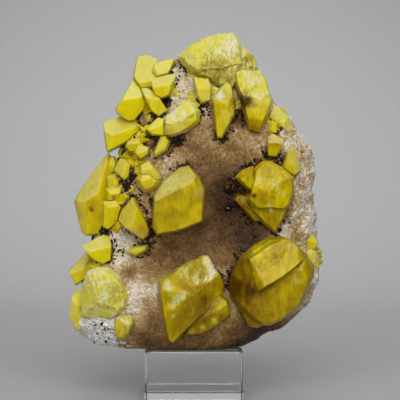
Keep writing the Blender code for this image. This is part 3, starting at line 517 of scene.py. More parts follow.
# Surface of the matrix
RIM_FROM, RIM_OVER = 22.0, 14.0  # x where the druse begins to coarsen to the right, and over what
SMALL_KNOB, LARGE_KNOB = 2.1, 4.6  # from one knob to the next
KNOB_RADIUS = 0.75  # of a knob, as a share of that
SMALL_HEIGHT, LARGE_HEIGHT, RIM_HEIGHT = 0.35, 0.2, 0.5  # the last is added to LARGE_HEIGHT at the rim
KNOBS_SET = 0.45  # how deep all of them are set
STAIN_SHADE_FADE, STAIN_SHADE_BEHIND = 8.0, 0.15  # depth over which the stains and their painted shade fade to the back, and what is left
CLOUD, CLOUDING = 9.0, 0.18  # width of the patches that differ in stain, and how much
PALE_CLOUDS = 0.3  # share of the patches that are the paler ones
CRUST_STAIN = 0.12  # how much darker the crust is than the grains on it
BESIDE, BESIDE_DARKENING = 0.7, 0.25  # reach of the darkening of the grains beside the crystals, and how dark it is

# Grains: how many places are tried for them, and each kind's mean and spread of the size's logarithm
DRUSE_PLACES, CRUMB_PLACES = 125000, 260000
DRUSE_SIZE, TAR_SIZE, WHITE_SIZE = (-1.15, 0.3), (-1.05, 0.4), (-1.15, 0.35)
RIM_GRAINS = 0.9  # how much larger the druse's grains are at the right rim
DRUSE_FOOT = 0.3  # how far above the foot's flat they begin
GRAIN_STAIN = 0.06  # how unlike in stain they are
SUNK = 0.3  # share of its size that a grain is sunk by
LEAST_TAR, MOST_TAR = 0.14, 0.8  # limits of the tar crumbs' size
POOL_CRUMBS = 0.3  # how much larger they are in a pool
BLACK_SHARE = 0.72  # share of them that are black outside the pools, the others being rusty
SMALL_AMBER, AMBER_FOR_PALE = 0.4, 0.4  # how amber small sulphur is at most, and what pale loses by it
# Share of the places that get a crumb along the crystals, in the pools, in SPECKS and in WHITE_CRUMBS
ALONG_SHARE, POOL_SHARE, SPECK_SHARE, WHITE_SHARE = 0.8, 0.9, 0.014, 0.55
# Least distance outside the crystals' faces, below 0 inside them
DRUSE_CLEAR, TAR_CLEAR, SULPHUR_CLEAR = -0.1, -0.4, -0.3

# Finish of each crystal's bodies in turn: how pale, how amber, and how deep its faces are broken
LOOKS = {
    "crystal_centre": [(0.04, 0.36, 0.04)],
    "crystal_lower_right": [(-0.5, 0.56, 0.13), (-0.65, 0.4, 0.13), (-0.5, 0.6, 0.13)],
    "crystal_lower_centre": [(-0.35, 0.42, 0.2), (-0.7, 0.56, 0.16)],
    "crystal_right": [(-0.5, 0.32, 0.2), (-0.5, 0.4, 0.16), (-0.4, 0.38, 0.18), (-0.9, 0.6, 0.13)],
    "crystal_left_edge": [(0.05, 0.22, 0.05)],
    "crystal_left_sliver": [(0.1, 0.1, 0.05)],
    "crystal_upper_left": [
        (0.02, 0.0, 0.04), (0.24, 0.04, 0.06), (0.24, 0.05, 0.06), (0.1, 0.04, 0.05), (0.14, 0.02, 0.05),
    ],
    "crystal_left_upper": [(0.08, 0.02, 0.05)],
    "crystals_left_pair": [(0.05, 0.2, 0.05), (0.08, 0.15, 0.05)],
    "crystal_top_small": [(0.3, 0.1, 0.2)],
    "crystal_top": [(0.75, 0.05, 0.5), (0.7, 0.1, 0.5), (0.45, 0.24, 0.5), (0.28, 0.18, 0.3)],
    "crystal_rim_crust": [(0.85, 0.06, 0.46)],
    "crystal_spike": [(0.18, 0.2, 0.3)],
    "crystal_broken_ridge": [(0.8, 0.05, 0.46), (0.2, 0.08, 0.1)],
    "crystal_blade": [(0.3, 0.05, 0.1)],
    "crystal_left_flagged": [(0.2, 0.1, 0.06)],
    "crystals_left_middle": [(0.34, 0.12, 0.34), (0.1, 0.14, 0.06), (0.05, 0.16, 0.06)],
    "crystal_prism": [(0.0, 0.2, 0.05)],
    "crystals_hexagonal": [(0.14, 0.18, 0.08), (0.28, 0.1, 0.08)],
    "crystal_corner_small": [(-0.05, 0.34, 0.05)],
    "crystal_corner_blade": [(0.1, 0.22, 0.06)],
    "crystal_left_wedge": [(0.05, 0.05, 0.05)],
    "crystal_left_corner": [(0.1, 0.02, 0.05)],
    "crystal_broken_left": [(0.95, 0.0, 0.5), (0.5, 0.25, 0.3)],
    "crystal_green_small": [(0.24, 0.34, 0.3)],
    "crystal_sunken": [(0.15, 0.2, 0.06)],
    "crystal_right_edge": [(0.1, 0.1, 0.08)],
    "crystal_right_edge_low": [(0.5, 0.0, 0.2)],
    "crystals_back_upper": [(0.1, 0.15, 0.06), (0.15, 0.1, 0.06)],
    "crystals_back_lower": [(0.1, 0.2, 0.06), (0.15, 0.15, 0.06)],
}
# Patches inside the crystals, in the front view: x, z, radius, then what each adds to pale, to amber
# and to the depth of breaking
PATCHES = [
    # Lower centre crystal: a crushed bowl and spots, powdered edges, and clear sulphur between them
    (5.8, 46.4, 2.6, 1.7, 0.0, 0.6), (7.8, 43.6, 1.9, 1.7, -0.2, 0.5), (5.6, 41.2, 1.7, 1.4, -0.2, 0.4),
    (1.0, 40.6, 2.6, 0.9, 0.0, 0.4), (-3.0, 43.5, 3.0, 0.6, 0.0, 0.3), (-6.0, 33.2, 1.9, 1.8, -0.2, 0.5),
    (-3.6, 34.6, 1.4, 1.6, -0.2, 0.4), (-8.2, 30.8, 1.5, 1.5, -0.2, 0.4),
    (-7.2, 27.4, 0.9, 1.3, 0.0, 0.2), (-9.5, 37.4, 2.2, 1.0, -0.1, 0.3),
    (-1.0, 21.8, 1.6, 1.3, -0.3, 0.1), (3.0, 23.6, 1.6, 1.3, -0.3, 0.1), (7.0, 25.8, 1.6, 1.2, -0.3, 0.1),
    (4.0, 33.0, 6.0, -0.15, 0.25, 0.0), (9.5, 31.0, 3.0, 0.7, -0.3, 0.1),
    (-3.0, 24.0, 6.0, -0.2, 0.25, 0.0),
    # Lower right crystal: veils, with clearer and more amber sulphur between them
    (24.0, 48.0, 3.5, 0.4, 0.0, 0.1), (31.0, 50.5, 3.5, 0.4, 0.0, 0.1),
    (22.5, 51.5, 3.5, -0.2, -0.25, 0.0), (16.5, 36.5, 5.0, -0.2, 0.4, 0.0),
    (13.5, 46.0, 4.0, -0.1, 0.25, 0.0), (20.5, 43.0, 2.0, 0.6, 0.0, 0.2),
    (24.0, 44.2, 2.0, 0.8, 0.0, 0.2), (28.0, 46.3, 2.2, 0.8, 0.0, 0.2), (31.5, 47.8, 2.0, 0.8, 0.0, 0.2),
    (34.0, 52.0, 2.0, 1.0, 0.0, 0.1), (35.5, 40.0, 3.5, 0.8, -0.2, 0.0),
    (37.0, 45.0, 4.0, 0.35, -0.1, 0.1), (32.0, 33.0, 6.0, -0.05, -0.12, 0.0),
    # Right crystal: veils, and bitumen sealed in it
    (22.5, 75.0, 2.3, 0.9, 0.0, 0.2), (28.5, 73.5, 2.5, 1.0, 0.0, 0.3), (31.0, 70.0, 2.0, 0.8, 0.0, 0.2),
    (26.6, 65.0, 1.8, 1.4, 0.0, 0.4), (24.0, 68.5, 2.5, -0.25, 0.1, 0.0),
    (19.0, 70.6, 0.9, 0.0, 0.6, 0.2), (20.9, 69.4, 0.6, 0.0, 0.9, 0.1), (26.8, 59.5, 3.5, -0.1, 0.1, 0.0),
    # Top crystals: the smoky root of the right one, powder, and the clear spike between them
    (17.6, 102.6, 3.0, -0.3, 1.1, 0.1), (20.5, 111.0, 5.0, 0.6, 0.0, 0.6),
    (24.5, 104.0, 3.0, 0.6, 0.0, 0.5), (21.0, 94.5, 4.0, -0.3, 0.22, -0.2),
    (8.0, 105.8, 2.3, 1.1, 0.0, 0.2), (7.6, 100.0, 2.4, -0.2, 0.15, 0.0),
    (13.2, 121.6, 3.4, 1.2, 0.0, -0.3), (19.3, 117.5, 2.5, -0.3, 0.5, 0.0),
    (1.5, 120.5, 3.0, -0.3, 0.0, 0.0),
    # Broken ridge below them
    (1.5, 94.0, 3.6, -0.9, 0.0, -0.2), (-7.0, 98.5, 3.0, 0.6, 0.0, 0.2),
    (-9.0, 91.0, 2.6, -0.3, 0.45, 0.0),
    # Bitumen sealed in the left crystals, and the amber foot of the left prism
    (-35.9, 64.6, 0.55, 0.0, 1.1, 0.0), (-36.0, 65.5, 2.4, 0.0, 0.14, 0.0),
    (-28.0, 68.7, 0.6, 0.0, 1.3, 0.0), (-17.5, 57.0, 3.0, 0.0, 0.3, 0.0),
    # Cleaner sulphur in the crumbly left crystal, and the small one at its foot
    (-22.5, 36.0, 3.0, -0.5, 0.0, 0.0), (-27.0, 34.5, 2.5, -0.35, 0.05, 0.0),
    (-38.5, 33.5, 3.0, -0.4, 0.0, 0.0), (-24.0, 26.0, 2.5, 0.4, 0.0, 0.1),
    # Scuffs on the blade at the right corner and on the centre crystal
    (33.0, 88.0, 1.3, 0.8, 0.0, 0.0), (34.5, 84.0, 1.3, 0.8, 0.0, 0.0), (35.7, 81.0, 1.2, 0.7, 0.0, 0.0),
    (2.2, 70.8, 1.6, 0.6, 0.0, 0.0), (0.5, 76.5, 2.5, -0.1, 0.0, 0.0), (-8.0, 75.0, 4.0, 0.4, 0.0, 0.0),
]

# Stains of the matrix, partly real brown staining and partly painted shade: the dark ones in the
# hollow between the four big crystals and under the centre crystal stand for the shade that falls
# there. x, z, radius, how dark, below 0 paler
STAINS_AND_SHADE = [
    (14.0, 71.0, 7.0, 0.6), (19.6, 20.5, 12.0, 0.4), (-27.0, 56.0, 8.0, -0.4), (-1.0, 107.0, 8.0, -0.2),
    (11.0, 62.0, 9.0, 0.6), (2.0, 52.0, 12.0, 0.5), (-12.0, 48.0, 7.5, 0.5), (32.0, 70.0, 9.0, 0.15),
    (6.0, 80.0, 15.0, 0.42), (18.0, 86.0, 7.0, 0.25), (16.0, 48.0, 7.0, 0.5), (28.0, 24.0, 12.0, 0.4),
    (-20.0, 66.0, 10.0, 0.1), (-13.0, 92.0, 7.0, 0.35), (-24.0, 84.0, 6.0, 0.5), (-2.0, 20.0, 12.0, 0.25),
    (19.6, 56.0, 5.0, 0.8), (-15.5, 21.0, 5.0, 0.35), (35.0, 56.0, 3.5, 0.3), (-22.4, 43.5, 3.0, 0.3),
    (-13.7, 28.5, 3.0, 0.25), (-4.9, 86.0, 4.0, 0.25), (16.1, 95.5, 3.0, 0.5),
]
FOOT_DARKENING = (27.0, 0.3)  # height under which the foot darkens, and by how much
# Where bitumen lies along the crystals, in the front view: x, z, radius, share of the crumbs kept
BITUMEN = [
    (-12.9, 91.8, 7.0, 1.0), (-10.2, 103.0, 2.0, 1.0), (-27.0, 79.0, 6.0, 0.9), (-25.0, 68.0, 6.0, 0.9),
    (-23.0, 60.0, 5.0, 0.55), (-15.5, 66.0, 3.0, 0.7), (-15.5, 58.5, 3.0, 0.7), (14.2, 74.5, 3.6, 1.0),
    (18.5, 80.4, 3.4, 1.0), (23.5, 83.0, 3.5, 1.0), (29.5, 81.5, 3.0, 1.0), (13.4, 67.0, 3.5, 1.0),
    (-15.4, 51.5, 5.0, 0.6), (13.5, 50.0, 4.0, 0.8), (13.0, 41.0, 4.0, 0.8), (3.0, 100.0, 4.0, 0.6),
    (10.0, 90.0, 4.0, 0.5), (-5.0, 82.0, 5.0, 0.4), (20.0, 60.0, 5.0, 0.4), (-30.0, 50.0, 5.0, 0.4),
    (30.0, 60.0, 5.0, 0.3), (-4.0, 113.2, 3.5, 0.3), (-6.0, 110.0, 3.0, 0.4), (9.9, 109.5, 3.0, 0.9),
    (28.5, 92.0, 2.5, 0.6), (16.0, 97.0, 3.5, 0.9), (-3.0, 119.0, 2.5, 0.5),
]
# Where small young crystals grow among the large ones, in the same way
SEEDLINGS = [
    (-29.0, 79.0, 4.0, 1.0), (-28.0, 70.0, 5.0, 1.0), (-29.0, 62.0, 4.0, 0.8), (-22.0, 82.0, 4.0, 0.8),
    (-20.0, 90.0, 4.0, 0.8), (-14.0, 100.0, 4.0, 0.7), (-35.0, 47.0, 5.0, 0.6), (8.0, 118.0, 6.0, 0.5),
    (28.0, 96.0, 4.0, 0.6), (40.0, 48.0, 4.0, 0.6),
]
# Where crushed sulphur fills the ground between broken crystals, in the same way
RUBBLE = [
    (0.3, 103.5, 3.2, 1.0), (-7.5, 106.5, 2.2, 0.8), (2.0, 112.5, 3.5, 1.0), (10.8, 109.5, 4.0, 1.0),
    (5.0, 106.0, 3.0, 1.0), (14.0, 101.0, 2.0, 0.8),
]
# Hollows full of bitumen, in the front view: x, z, radius
BITUMEN_POOLS = [
    (-9.6, 102.2, 1.7), (-5.6, 89.3, 2.2), (-25.0, 86.2, 2.2), (-31.4, 75.5, 1.2), (-15.4, 57.5, 1.9),
    (-31.0, 57.2, 1.5), (-22.5, 90.5, 1.6), (-21.5, 77.0, 1.4), (-13.5, 98.6, 1.5), (12.6, 71.5, 1.6),
    (14.2, 98.4, 1.0), (-23.0, 72.6, 1.2), (12.3, 66.0, 1.5),
]
# Shell-like breaks in the front view: x, z, radius, how deep the shell is hollowed
SHELLS = [
    (3.0, 41.8, 4.8, 1.2), (-7.5, 32.5, 3.0, 0.6), (28.5, 72.0, 5.0, 0.5), (21.0, 64.5, 3.0, 0.5),
    (20.5, 108.0, 6.0, 0.9), (12.0, 104.0, 2.5, 0.4), (8.0, 115.0, 6.0, 0.9), (-29.0, 35.0, 6.0, 0.6),
]
RIPPLE, RIPPLING, WANDERING = 1.9, 0.22, 1.3  # from one ripple to the next, how deep, how uneven
# Where single drops are scattered over the open calcite: x, z, radius, share
SPECKS = [
    (17.0, 60.0, 8.0, 1.0), (14.0, 70.0, 5.0, 1.0), (-6.0, 50.0, 10.0, 0.3), (-20.0, 49.0, 6.0, 0.8),
    (-13.0, 44.0, 5.0, 0.5), (-10.0, 102.0, 7.0, 1.0), (5.0, 98.0, 6.0, 0.5), (-20.0, 62.0, 6.0, 1.0),
    (38.0, 80.0, 5.0, 0.3), (-35.0, 23.0, 8.0, 0.7), (12.0, 46.0, 5.0, 0.8),
]
# Where clean white crumbs of calcite lie, in the same way
WHITE_CRUMBS = [(-35.0, 23.0, 9.0, 1.0), (-24.0, 31.0, 5.0, 0.15)]
BITUMEN_REACH = 1.3  # how far from a crystal the crumbs thin out


# Grids and meshes

def grid_triangles(rows, columns, closed=False):
    """The two triangles of every square of a grid of rows x columns squares, as indices of its points;
    closed joins the last column to the first."""
    across = columns if closed else columns + 1
    row, column = np.meshgrid(np.arange(rows), np.arange(columns), indexing="ij")
    after = (column + 1) % across
    a, b = row * across + column, (row + 1) * across + column
    c, d = (row + 1) * across + after, row * across + after
    return np.concatenate([np.stack([a, b, c], -1), np.stack([a, c, d], -1)]).reshape(-1, 3)


def mesh_object(name, points, triangles, material, fields=None, smooth_below=None):
    """An object whose mesh has these points and triangles, in millimetres; fields are numbers kept
    for each point, and edges flatter than smooth_below degrees are shaded smooth."""
    mesh = bpy.data.meshes.new(name)
    mesh.vertices.add(len(points))
    mesh.vertices.foreach_set("co", (points * MM).astype(np.float32).ravel())
    mesh.loops.add(triangles.size)
    mesh.loops.foreach_set("vertex_index", triangles.astype(np.int32).ravel())
    mesh.polygons.add(len(triangles))
    mesh.polygons.foreach_set("loop_start", np.arange(0, triangles.size, 3, dtype=np.int32))
    mesh.update(calc_edges=True)
    for field, values in (fields or {}).items():
        mesh.attributes.new(field, "FLOAT", "POINT").data.foreach_set("value", values.astype(np.float32))
    mesh.polygons.foreach_set("use_smooth", np.full(len(triangles), smooth_below is not None))
    if smooth_below:
        mesh.set_sharp_from_angle(angle=math.radians(smooth_below))
    mesh.materials.append(material)
    made = bpy.data.objects.new(name, mesh)
    bpy.context.scene.collection.objects.link(made)
    return made


def specimen_piece(*args, **settings):
    """A piece that stands for the CAD's specimen."""
    made = mesh_object(*args, **settings)
    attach(made, "root")
    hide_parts("specimen")
    return made


def hashed(cubes, seed):
    """Three numbers in 0..1 for every whole-number cube: its coordinates times large odd numbers,
    stirred by shifts and products."""
    stirred = (cubes @ np.array([73856093, 19349663, 83492791]) + seed * 374761393) & 0xFFFFFFFF
    numbers = []
    for _ in range(3):
        stirred = (stirred ^ (stirred >> 15)) * 2246822519 & 0xFFFFFFFF
        stirred = (stirred ^ (stirred >> 13)) * 3266489917 & 0xFFFFFFFF
        numbers.append((stirred ^ (stirred >> 16)) / 2**32)
    return np.stack(numbers, axis=1)


def cells(points, size, seed):
    """The nearest of a set of scattered centres, one in each cube of that size: the vector from it to
    each point, and three random numbers that belong to it."""
    home = np.floor(points / size).astype(np.int64)
    least = np.full(len(points), np.inf)
    away, numbers = np.zeros_like(points), np.zeros_like(points)
    for step in itertools.product((-1, 0, 1), repeat=3):
        own = hashed(home + step, seed)
        vector = points - (home + step + own) * size
        distance = (vector**2).sum(axis=1)
        nearer = distance < least
        least[nearer] = distance[nearer]
        away[nearer] = vector[nearer]
        numbers[nearer] = own[nearer]
    return away, numbers


def broken(points, depth, size, seed):
    """Depth of a broken surface below the whole one: within each cell a plane tilted at random, at
    two sizes of cell, so that it breaks in small flat faces with steps between them."""
    total = np.zeros(len(points))
    for share, scale in CELL_LAYERS:
        away, numbers = cells(points, size * scale, seed)
        slope = (away * (numbers * 2.0 - 1.0)).sum(axis=1) / (size * scale)
        total += share * np.clip(0.5 + TILT * slope + STEP * (numbers[:, 0] - 0.5), 0.0, DEEPEST)
    return depth * total


def shells(points):
    """Depth of the shell-like breaks: a hollow exp(-(distance / radius)^2), with ripples round its
    middle that are a cosine of the distance, made to wander by three sines."""
    x, z = front_view(points)
    total = np.zeros(len(points))
    for at_x, at_z, radius, hollow in SHELLS:
        distance = np.hypot(x - at_x, z - at_z)
        wander = np.sin(1.1 * x + 0.5 * z) + np.sin(1.7 * z - 0.8 * x) + np.sin(3.1 * x - 2.3 * z)
        ripple = 1.0 + RIPPLING * np.cos(math.tau * distance / RIPPLE + WANDERING * wander)
        total += hollow * np.exp(-((distance / radius) ** 2)) * ripple
    return total * (points[:, 1] < 0.0)


# Matrix

def cube_grid(squares):
    """A cube of side 2 as six square grids (a, b), their shared edges welded: points and triangles."""
    a, b = np.meshgrid(*[np.linspace(-1.0, 1.0, squares + 1)] * 2, indexing="ij")
    one = np.ones_like(a)
    sides = [(one, a, b), (-one, b, a), (b, one, a), (a, -one, b), (a, b, one), (b, a, -one)]
    points = np.concatenate([np.stack(side, axis=-1).reshape(-1, 3) for side in sides])
    triangles = grid_triangles(squares, squares)
    triangles = np.concatenate([triangles + i * one.size for i in range(6)])
    keys = np.round(points * squares).astype(np.int64)
    _, first, index = np.unique(keys, axis=0, return_index=True, return_inverse=True)
    return points[first], index.reshape(-1)[triangles]


def normals_of(points, triangles):
    """The unit normal at every point: the mean of its triangles' normals by area."""
    a, b, c = points[triangles].transpose(1, 0, 2)
    across = np.cross(b - a, c - a)
    total = np.stack(
        [np.bincount(triangles.ravel(), np.repeat(across[:, i], 3), len(points)) for i in range(3)], axis=1
    )
    return total / np.linalg.norm(total, axis=1, keepdims=True)


def knobs(points, size, seed):
    """Rounded knobs: a half ball round each scattered centre, up to 1 high and 0 between them."""
    away, _ = cells(points, size, seed)
    return np.sqrt(np.maximum(1.0 - (away**2).sum(axis=1) / (KNOB_RADIUS * size) ** 2, 0.0))


def at_rim(points):
    """0 over most of the matrix, rising to 1 at its right rim, where the druse is coarsest."""
    return np.clip((points[:, 0] - RIM_FROM) / RIM_OVER, 0.0, 1.0)


def stain_and_shade_at(points):
    """0 where the calcite is pale, 1 where it is brown: the stains, partly real staining and partly
    painted shade in the hollows, each fading out as exp(-(distance / radius)^2) and to the back, the
    dark foot, and patches that differ a little."""
    x, z = points[:, 0], points[:, 2]
    front = np.clip(0.5 - points[:, 1] / STAIN_SHADE_FADE, STAIN_SHADE_BEHIND, 1.0)
    total = np.zeros(len(points))
    for at_x, at_z, radius, dark in STAINS_AND_SHADE:
        total = total + dark * front * np.exp(-((x - at_x) ** 2 + (z - at_z) ** 2) / radius**2)
    below, dark = FOOT_DARKENING
    total += dark * np.clip((below - z) / (below - MATRIX_FOOT), 0.0, 1.0)
    _, numbers = cells(points, CLOUD, seed=4)
    return np.clip(total + CLOUDING * (numbers[:, 1] - PALE_CLOUDS), 0.0, 1.0)


def matrix_surface():
    """The matrix's points and triangles: the blown-up cube pushed out by the lumps, as the solid is,
    then by knobs of drusy calcite, larger at the right rim; flat at the foot."""
    corners, triangles = cube_grid(MATRIX_SQUARES)
    points = blown_up(corners)
    points = points + normals_of(points, triangles) * lumps(points)[:, None]
    small = SMALL_HEIGHT * knobs(points, SMALL_KNOB, seed=7)
    large = (LARGE_HEIGHT + RIM_HEIGHT * at_rim(points)) * knobs(points, LARGE_KNOB, seed=8)
    points = points + normals_of(points, triangles) * (small + large - KNOBS_SET)[:, None]
    points[:, 2] = np.maximum(points[:, 2], MATRIX_FOOT)
    return points, triangles


# Crystals

def cut_corners(points, normals):
    """The corners of the solid that the planes bound: the meeting points of three planes that no
    other plane cuts off, those closer than a seam being one."""
    depths = (points * normals).sum(axis=1)
    threes = np.array(list(itertools.combinations(range(len(points)), 3)))
    threes = threes[np.abs(np.linalg.det(normals[threes])) > PARALLEL]
    meets = np.linalg.solve(normals[threes], depths[threes][..., None])[..., 0]
    meets = meets[(meets @ normals.T <= depths + ROUNDING).all(axis=1)]
    close = np.linalg.norm(meets[:, None] - meets, axis=2) < SEAM
    return meets[np.unique(close.argmax(axis=1))]


def outline_of(loop, corners, step):
    """Points round a face: each edge cut into equal lengths of about one step, the same seen from
    both of its faces."""
    sides = []
    for start, end in zip(loop, np.roll(loop, -1)):
        low, high = min(start, end), max(start, end)
        count = max(1, math.ceil(np.linalg.norm(corners[high] - corners[low]) / step))
        share = np.arange(count + 1)[:, None] / count
        side = corners[low] + share * (corners[high] - corners[low])
        sides.append((side if start == low else side[::-1])[:-1])
    return np.concatenate(sides)


def face_grid(outline, step):
    """A flat face as a grid (s, t): t runs round its outline, s from the outline to its middle, and
    the point is outline(t) + s (middle - outline(t)). The first rings lie close to the edge. With no
    step the face is a plain fan."""
    middle = outline.mean(axis=0)
    radius = np.linalg.norm(outline - middle, axis=1).mean()
    near = [ring / radius for ring in EDGE_RINGS if ring < RINGS_WITHIN * radius] if step else [0.0]
    count = max(1, round(radius * (1.0 - near[-1]) / step)) if step else 1
    s = np.concatenate([near[:-1], np.linspace(near[-1], 1.0, count + 1)[:-1]])
    points = outline + s[:, None, None] * (middle - outline)
    rings, around = points.shape[:2]
    triangles = grid_triangles(rings - 1, around, closed=True)
    last = (rings - 1) * around + np.arange(around)
    fan = np.stack([last, np.full(around, rings * around), np.roll(last, -1)], axis=1)
    return np.concatenate([points.reshape(-1, 3), [middle]]), np.concatenate([triangles, fan])


def crystal_faces(points, normals, inside, step):
    """The grids of all the faces of a body, welded. A face that looks back into the matrix gets the
    fewest points."""
    corners = cut_corners(points, normals)
    grids, triangles, count = [], [], 0
    for point, normal in zip(points, normals):
        on = np.flatnonzero(np.abs((corners - point) @ normal) < 0.5 * SEAM)
        if len(on) < 3:
            continue
        along = np.cross(normal, ASKEW)
        flat = corners[on] - corners[on].mean(axis=0)
        loop = on[np.argsort(np.arctan2(flat @ np.cross(normal, along), flat @ along))]
        hidden = normal[1] * np.sign(inside[1]) < -BURIED
        grid, own = face_grid(outline_of(loop, corners, step), None if hidden else step)
        grids.append(grid)
        triangles.append(own + count)
        count += len(grid)
    grid = np.concatenate(grids)
    keys = np.round(grid / WELD).astype(np.int64)
    _, first, index = np.unique(keys, axis=0, return_index=True, return_inverse=True)
    triangles = index.reshape(-1)[np.concatenate(triangles)]
    whole = (triangles != np.roll(triangles, 1, axis=1)).all(axis=1)
    return grid[first], triangles[whole]


def shares_reached(rays, points, normals, inside):
    """How far each ray from the inside reaches towards each plane: 1 on it, 0 if turned away."""
    return np.maximum(rays @ normals.T / ((points - inside) * normals).sum(axis=1), 0.0)


def broken_grid(points, normals, inside):
    """A body's surface as a blown-up cube: each ray from the inside, in the direction of
    tan(45 degrees x corner), is cut off where it first meets a plane."""
    radius = np.linalg.norm(points - inside, axis=1).mean()
    squares = min(max(BROKEN_SQUARES * radius, LEAST_SQUARES), MOST_SQUARES)
    corners, triangles = cube_grid(2 * round(squares / 2))
    rays = np.tan(corners * math.pi / 4)
    rays /= np.linalg.norm(rays, axis=1, keepdims=True)
    shares = shares_reached(rays, points, normals, inside)
    return inside + rays / shares.max(axis=1, keepdims=True), triangles


def splintered(grid, depth, crushed, seed):
    """Depth that a broken body loses to splinters and shells, and how much paler each splinter is.
    The splinters are broken() with its cells drawn out along SPLINTERS."""
    along = grid @ SPLINTERS
    drawn_out = grid - DRAWN_OUT * along[:, None] * SPLINTERS
    fine = np.maximum(PATCH_SPLINTERS * (crushed - depth), BODY_SPLINTERS * depth)
    lost = broken(drawn_out, fine, SPLINTER_CELL, seed + 5) + shells(grid)
    _, numbers = cells(drawn_out, MOTTLE_CELL * SPLINTER_CELL, seed + 7)
    return lost, MOTTLE * np.minimum(crushed, MOST_MOTTLED) * (numbers[:, 0] - DEEP_SPLINTERS)


def crystal_body(body, look, seed):
    """A body's points, triangles and fields.

    edges   rounded by drawing each point in to 1 / (sum of share^power)^(1/power) of its distance,
            the shares being how far it reaches towards each plane
    breaks  small flat faces as deep as the look says; on a broken body also drawn-out splinters,
            deepest where a patch is crushed, and the shell-like breaks
    pale    the look's, more on faces turned up as a painted sheen, and on a broken body different in each splinter
    amber   the look's, with dirt in the deepest breaks
    edge    1 along the edges, 0 on the faces
    """
    _, _, depth = look
    is_broken = depth > BROKEN_FROM
    planes, inside = planes_of(body)
    points, normals = (np.array(column) for column in zip(*planes))
    if is_broken:
        grid, triangles = broken_grid(points, normals, inside)
    else:
        grid, triangles = crystal_faces(points, normals, inside, CLEAN_STEP)
    rays = grid - inside
    shares = shares_reached(rays, points, normals, inside)
    power = BROKEN_POWER if is_broken else EDGE_POWER
    swell = (shares**power).sum(axis=1) ** (1.0 / power)
    edge = (swell - 1.0) / (2.0 ** (1.0 / power) - 1.0)
    pale, amber, crushed = tones(grid, look)
    # Faces turned up are drawn paler: a painted sheen from the light above
    turned_up = normals[shares.argmax(axis=1)] @ SHEEN_FACING
    sheen = PAINTED_SHEEN if depth < CRUSHED_FROM else CRUSHED_SHEEN
    pale = pale + sheen * np.clip((turned_up - SHEEN_FROM) / SHEEN_OVER, 0.0, 1.0)
    cut = broken(grid, depth, BROKEN_CELL if is_broken else CELL, seed)
    if is_broken:
        lost, paler = splintered(grid, depth, crushed, seed)
        cut, pale = cut + lost, pale + paler
    if depth > DIRTY_FROM:
        amber = amber + np.clip(DIRT * (cut / depth - 1.0), 0.0, MOST_DIRT)
    grid = inside + rays * (1.0 / swell - cut / np.linalg.norm(rays, axis=1))[:, None]
    fields = {
        "pale": np.clip(pale, 0.0, STRONGEST), "amber": np.clip(amber, 0.0, STRONGEST),
        "edge": np.clip(edge, 0.0, 1.0),
    }
    return grid, triangles, fields


def tones(points, look):
    """How pale, how amber and how broken the sulphur is at each point: the body's own, plus the
    patches, each fading out as exp(-(distance / radius)^2)."""
    x, z = front_view(points)
    totals = [np.full(len(points), value) for value in look]
    for at_x, at_z, radius, *more in PATCHES:
        near = np.exp(-((x - at_x) ** 2 + (z - at_z) ** 2) / radius**2) * (points[:, 1] < 0.0)
        totals = [total + value * near for total, value in zip(totals, more)]
    return totals


def joined(parts):
    """Several (points, triangles, fields) as one."""
    starts = np.cumsum([0] + [len(points) for points, _, _ in parts[:-1]])
    points = np.concatenate([points for points, _, _ in parts])
    triangles = np.concatenate([triangles + start for (_, triangles, _), start in zip(parts, starts)])
    fields = {key: np.concatenate([fields[key] for _, _, fields in parts]) for key in parts[0][2]}
    return points, triangles, fields


# Grains

def scattered(points, triangles, count, seed):
    """Places spread evenly over a surface, and its normals there: corner a + u (b - a) + v (c - a) of
    triangles drawn by area, u and v folded back where they pass the far side."""
    random = np.random.default_rng(seed)
    a, b, c = points[triangles].transpose(1, 0, 2)
    across = np.cross(b - a, c - a)
    area = np.linalg.norm(across, axis=1)
    drawn = random.choice(len(triangles), count, p=area / area.sum())
    u, v = random.random((2, count, 1))
    u, v = np.where(u + v > 1.0, 1.0 - u, u), np.where(u + v > 1.0, 1.0 - v, v)
    places = a[drawn] + u * (b - a)[drawn] + v * (c - a)[drawn]
    return places, across[drawn] / area[drawn, None]


def clearance(places):
    """Distance of each place from the nearest crystal, below 0 inside one: the least over the
    bodies of the greatest distance before any of a body's planes."""
    least = np.full(len(places), np.inf)
    for planes in BODY_PLANES:
        points, normals = (np.array(column) for column in zip(*planes))
        before = (places @ normals.T - (points * normals).sum(axis=1)).max(axis=1)
        least = np.minimum(least, before)
    return least


def grains(places, normals, sizes, shape, tilt, ragged, seed):
    """A small body at each place, all in one mesh: the shape's corners jogged at random, turned about
    the surface's normal and tipped from it by about tilt, times the size."""
    random = np.random.default_rng(seed)
    corners, triangles = shape
    count = len(places)
    axis = normals + tilt * random.normal(size=(count, 3))
    axis /= np.linalg.norm(axis, axis=1, keepdims=True)
    side = np.cross(axis, random.normal(size=(count, 3)))
    side /= np.linalg.norm(side, axis=1, keepdims=True)
    frames = np.stack([side, np.cross(axis, side), axis], axis=1)
    local = corners + ragged * random.normal(size=(count, *corners.shape))
    points = places[:, None] + sizes[:, None, None] * np.einsum("nvi,nij->nvj", local, frames)
    triangles = triangles + len(corners) * np.arange(count)[:, None, None]
    return points.reshape(-1, 3), triangles.reshape(-1, 3)


def rhomb():
    """A blunt grain of eight faces: six corners at the ends of three axes, the last a little shorter."""
    corners = np.array([(1, 0, 0), (0, 1, 0), (-1, 0, 0), (0, -1, 0), (0, 0, 0.85), (0, 0, -0.85)])
    step, after = np.arange(4), (np.arange(4) + 1) % 4
    up = np.stack([step, after, np.full(4, 4)], axis=1)
    return corners, np.concatenate([up, np.stack([after, step, np.full(4, 5)], axis=1)])


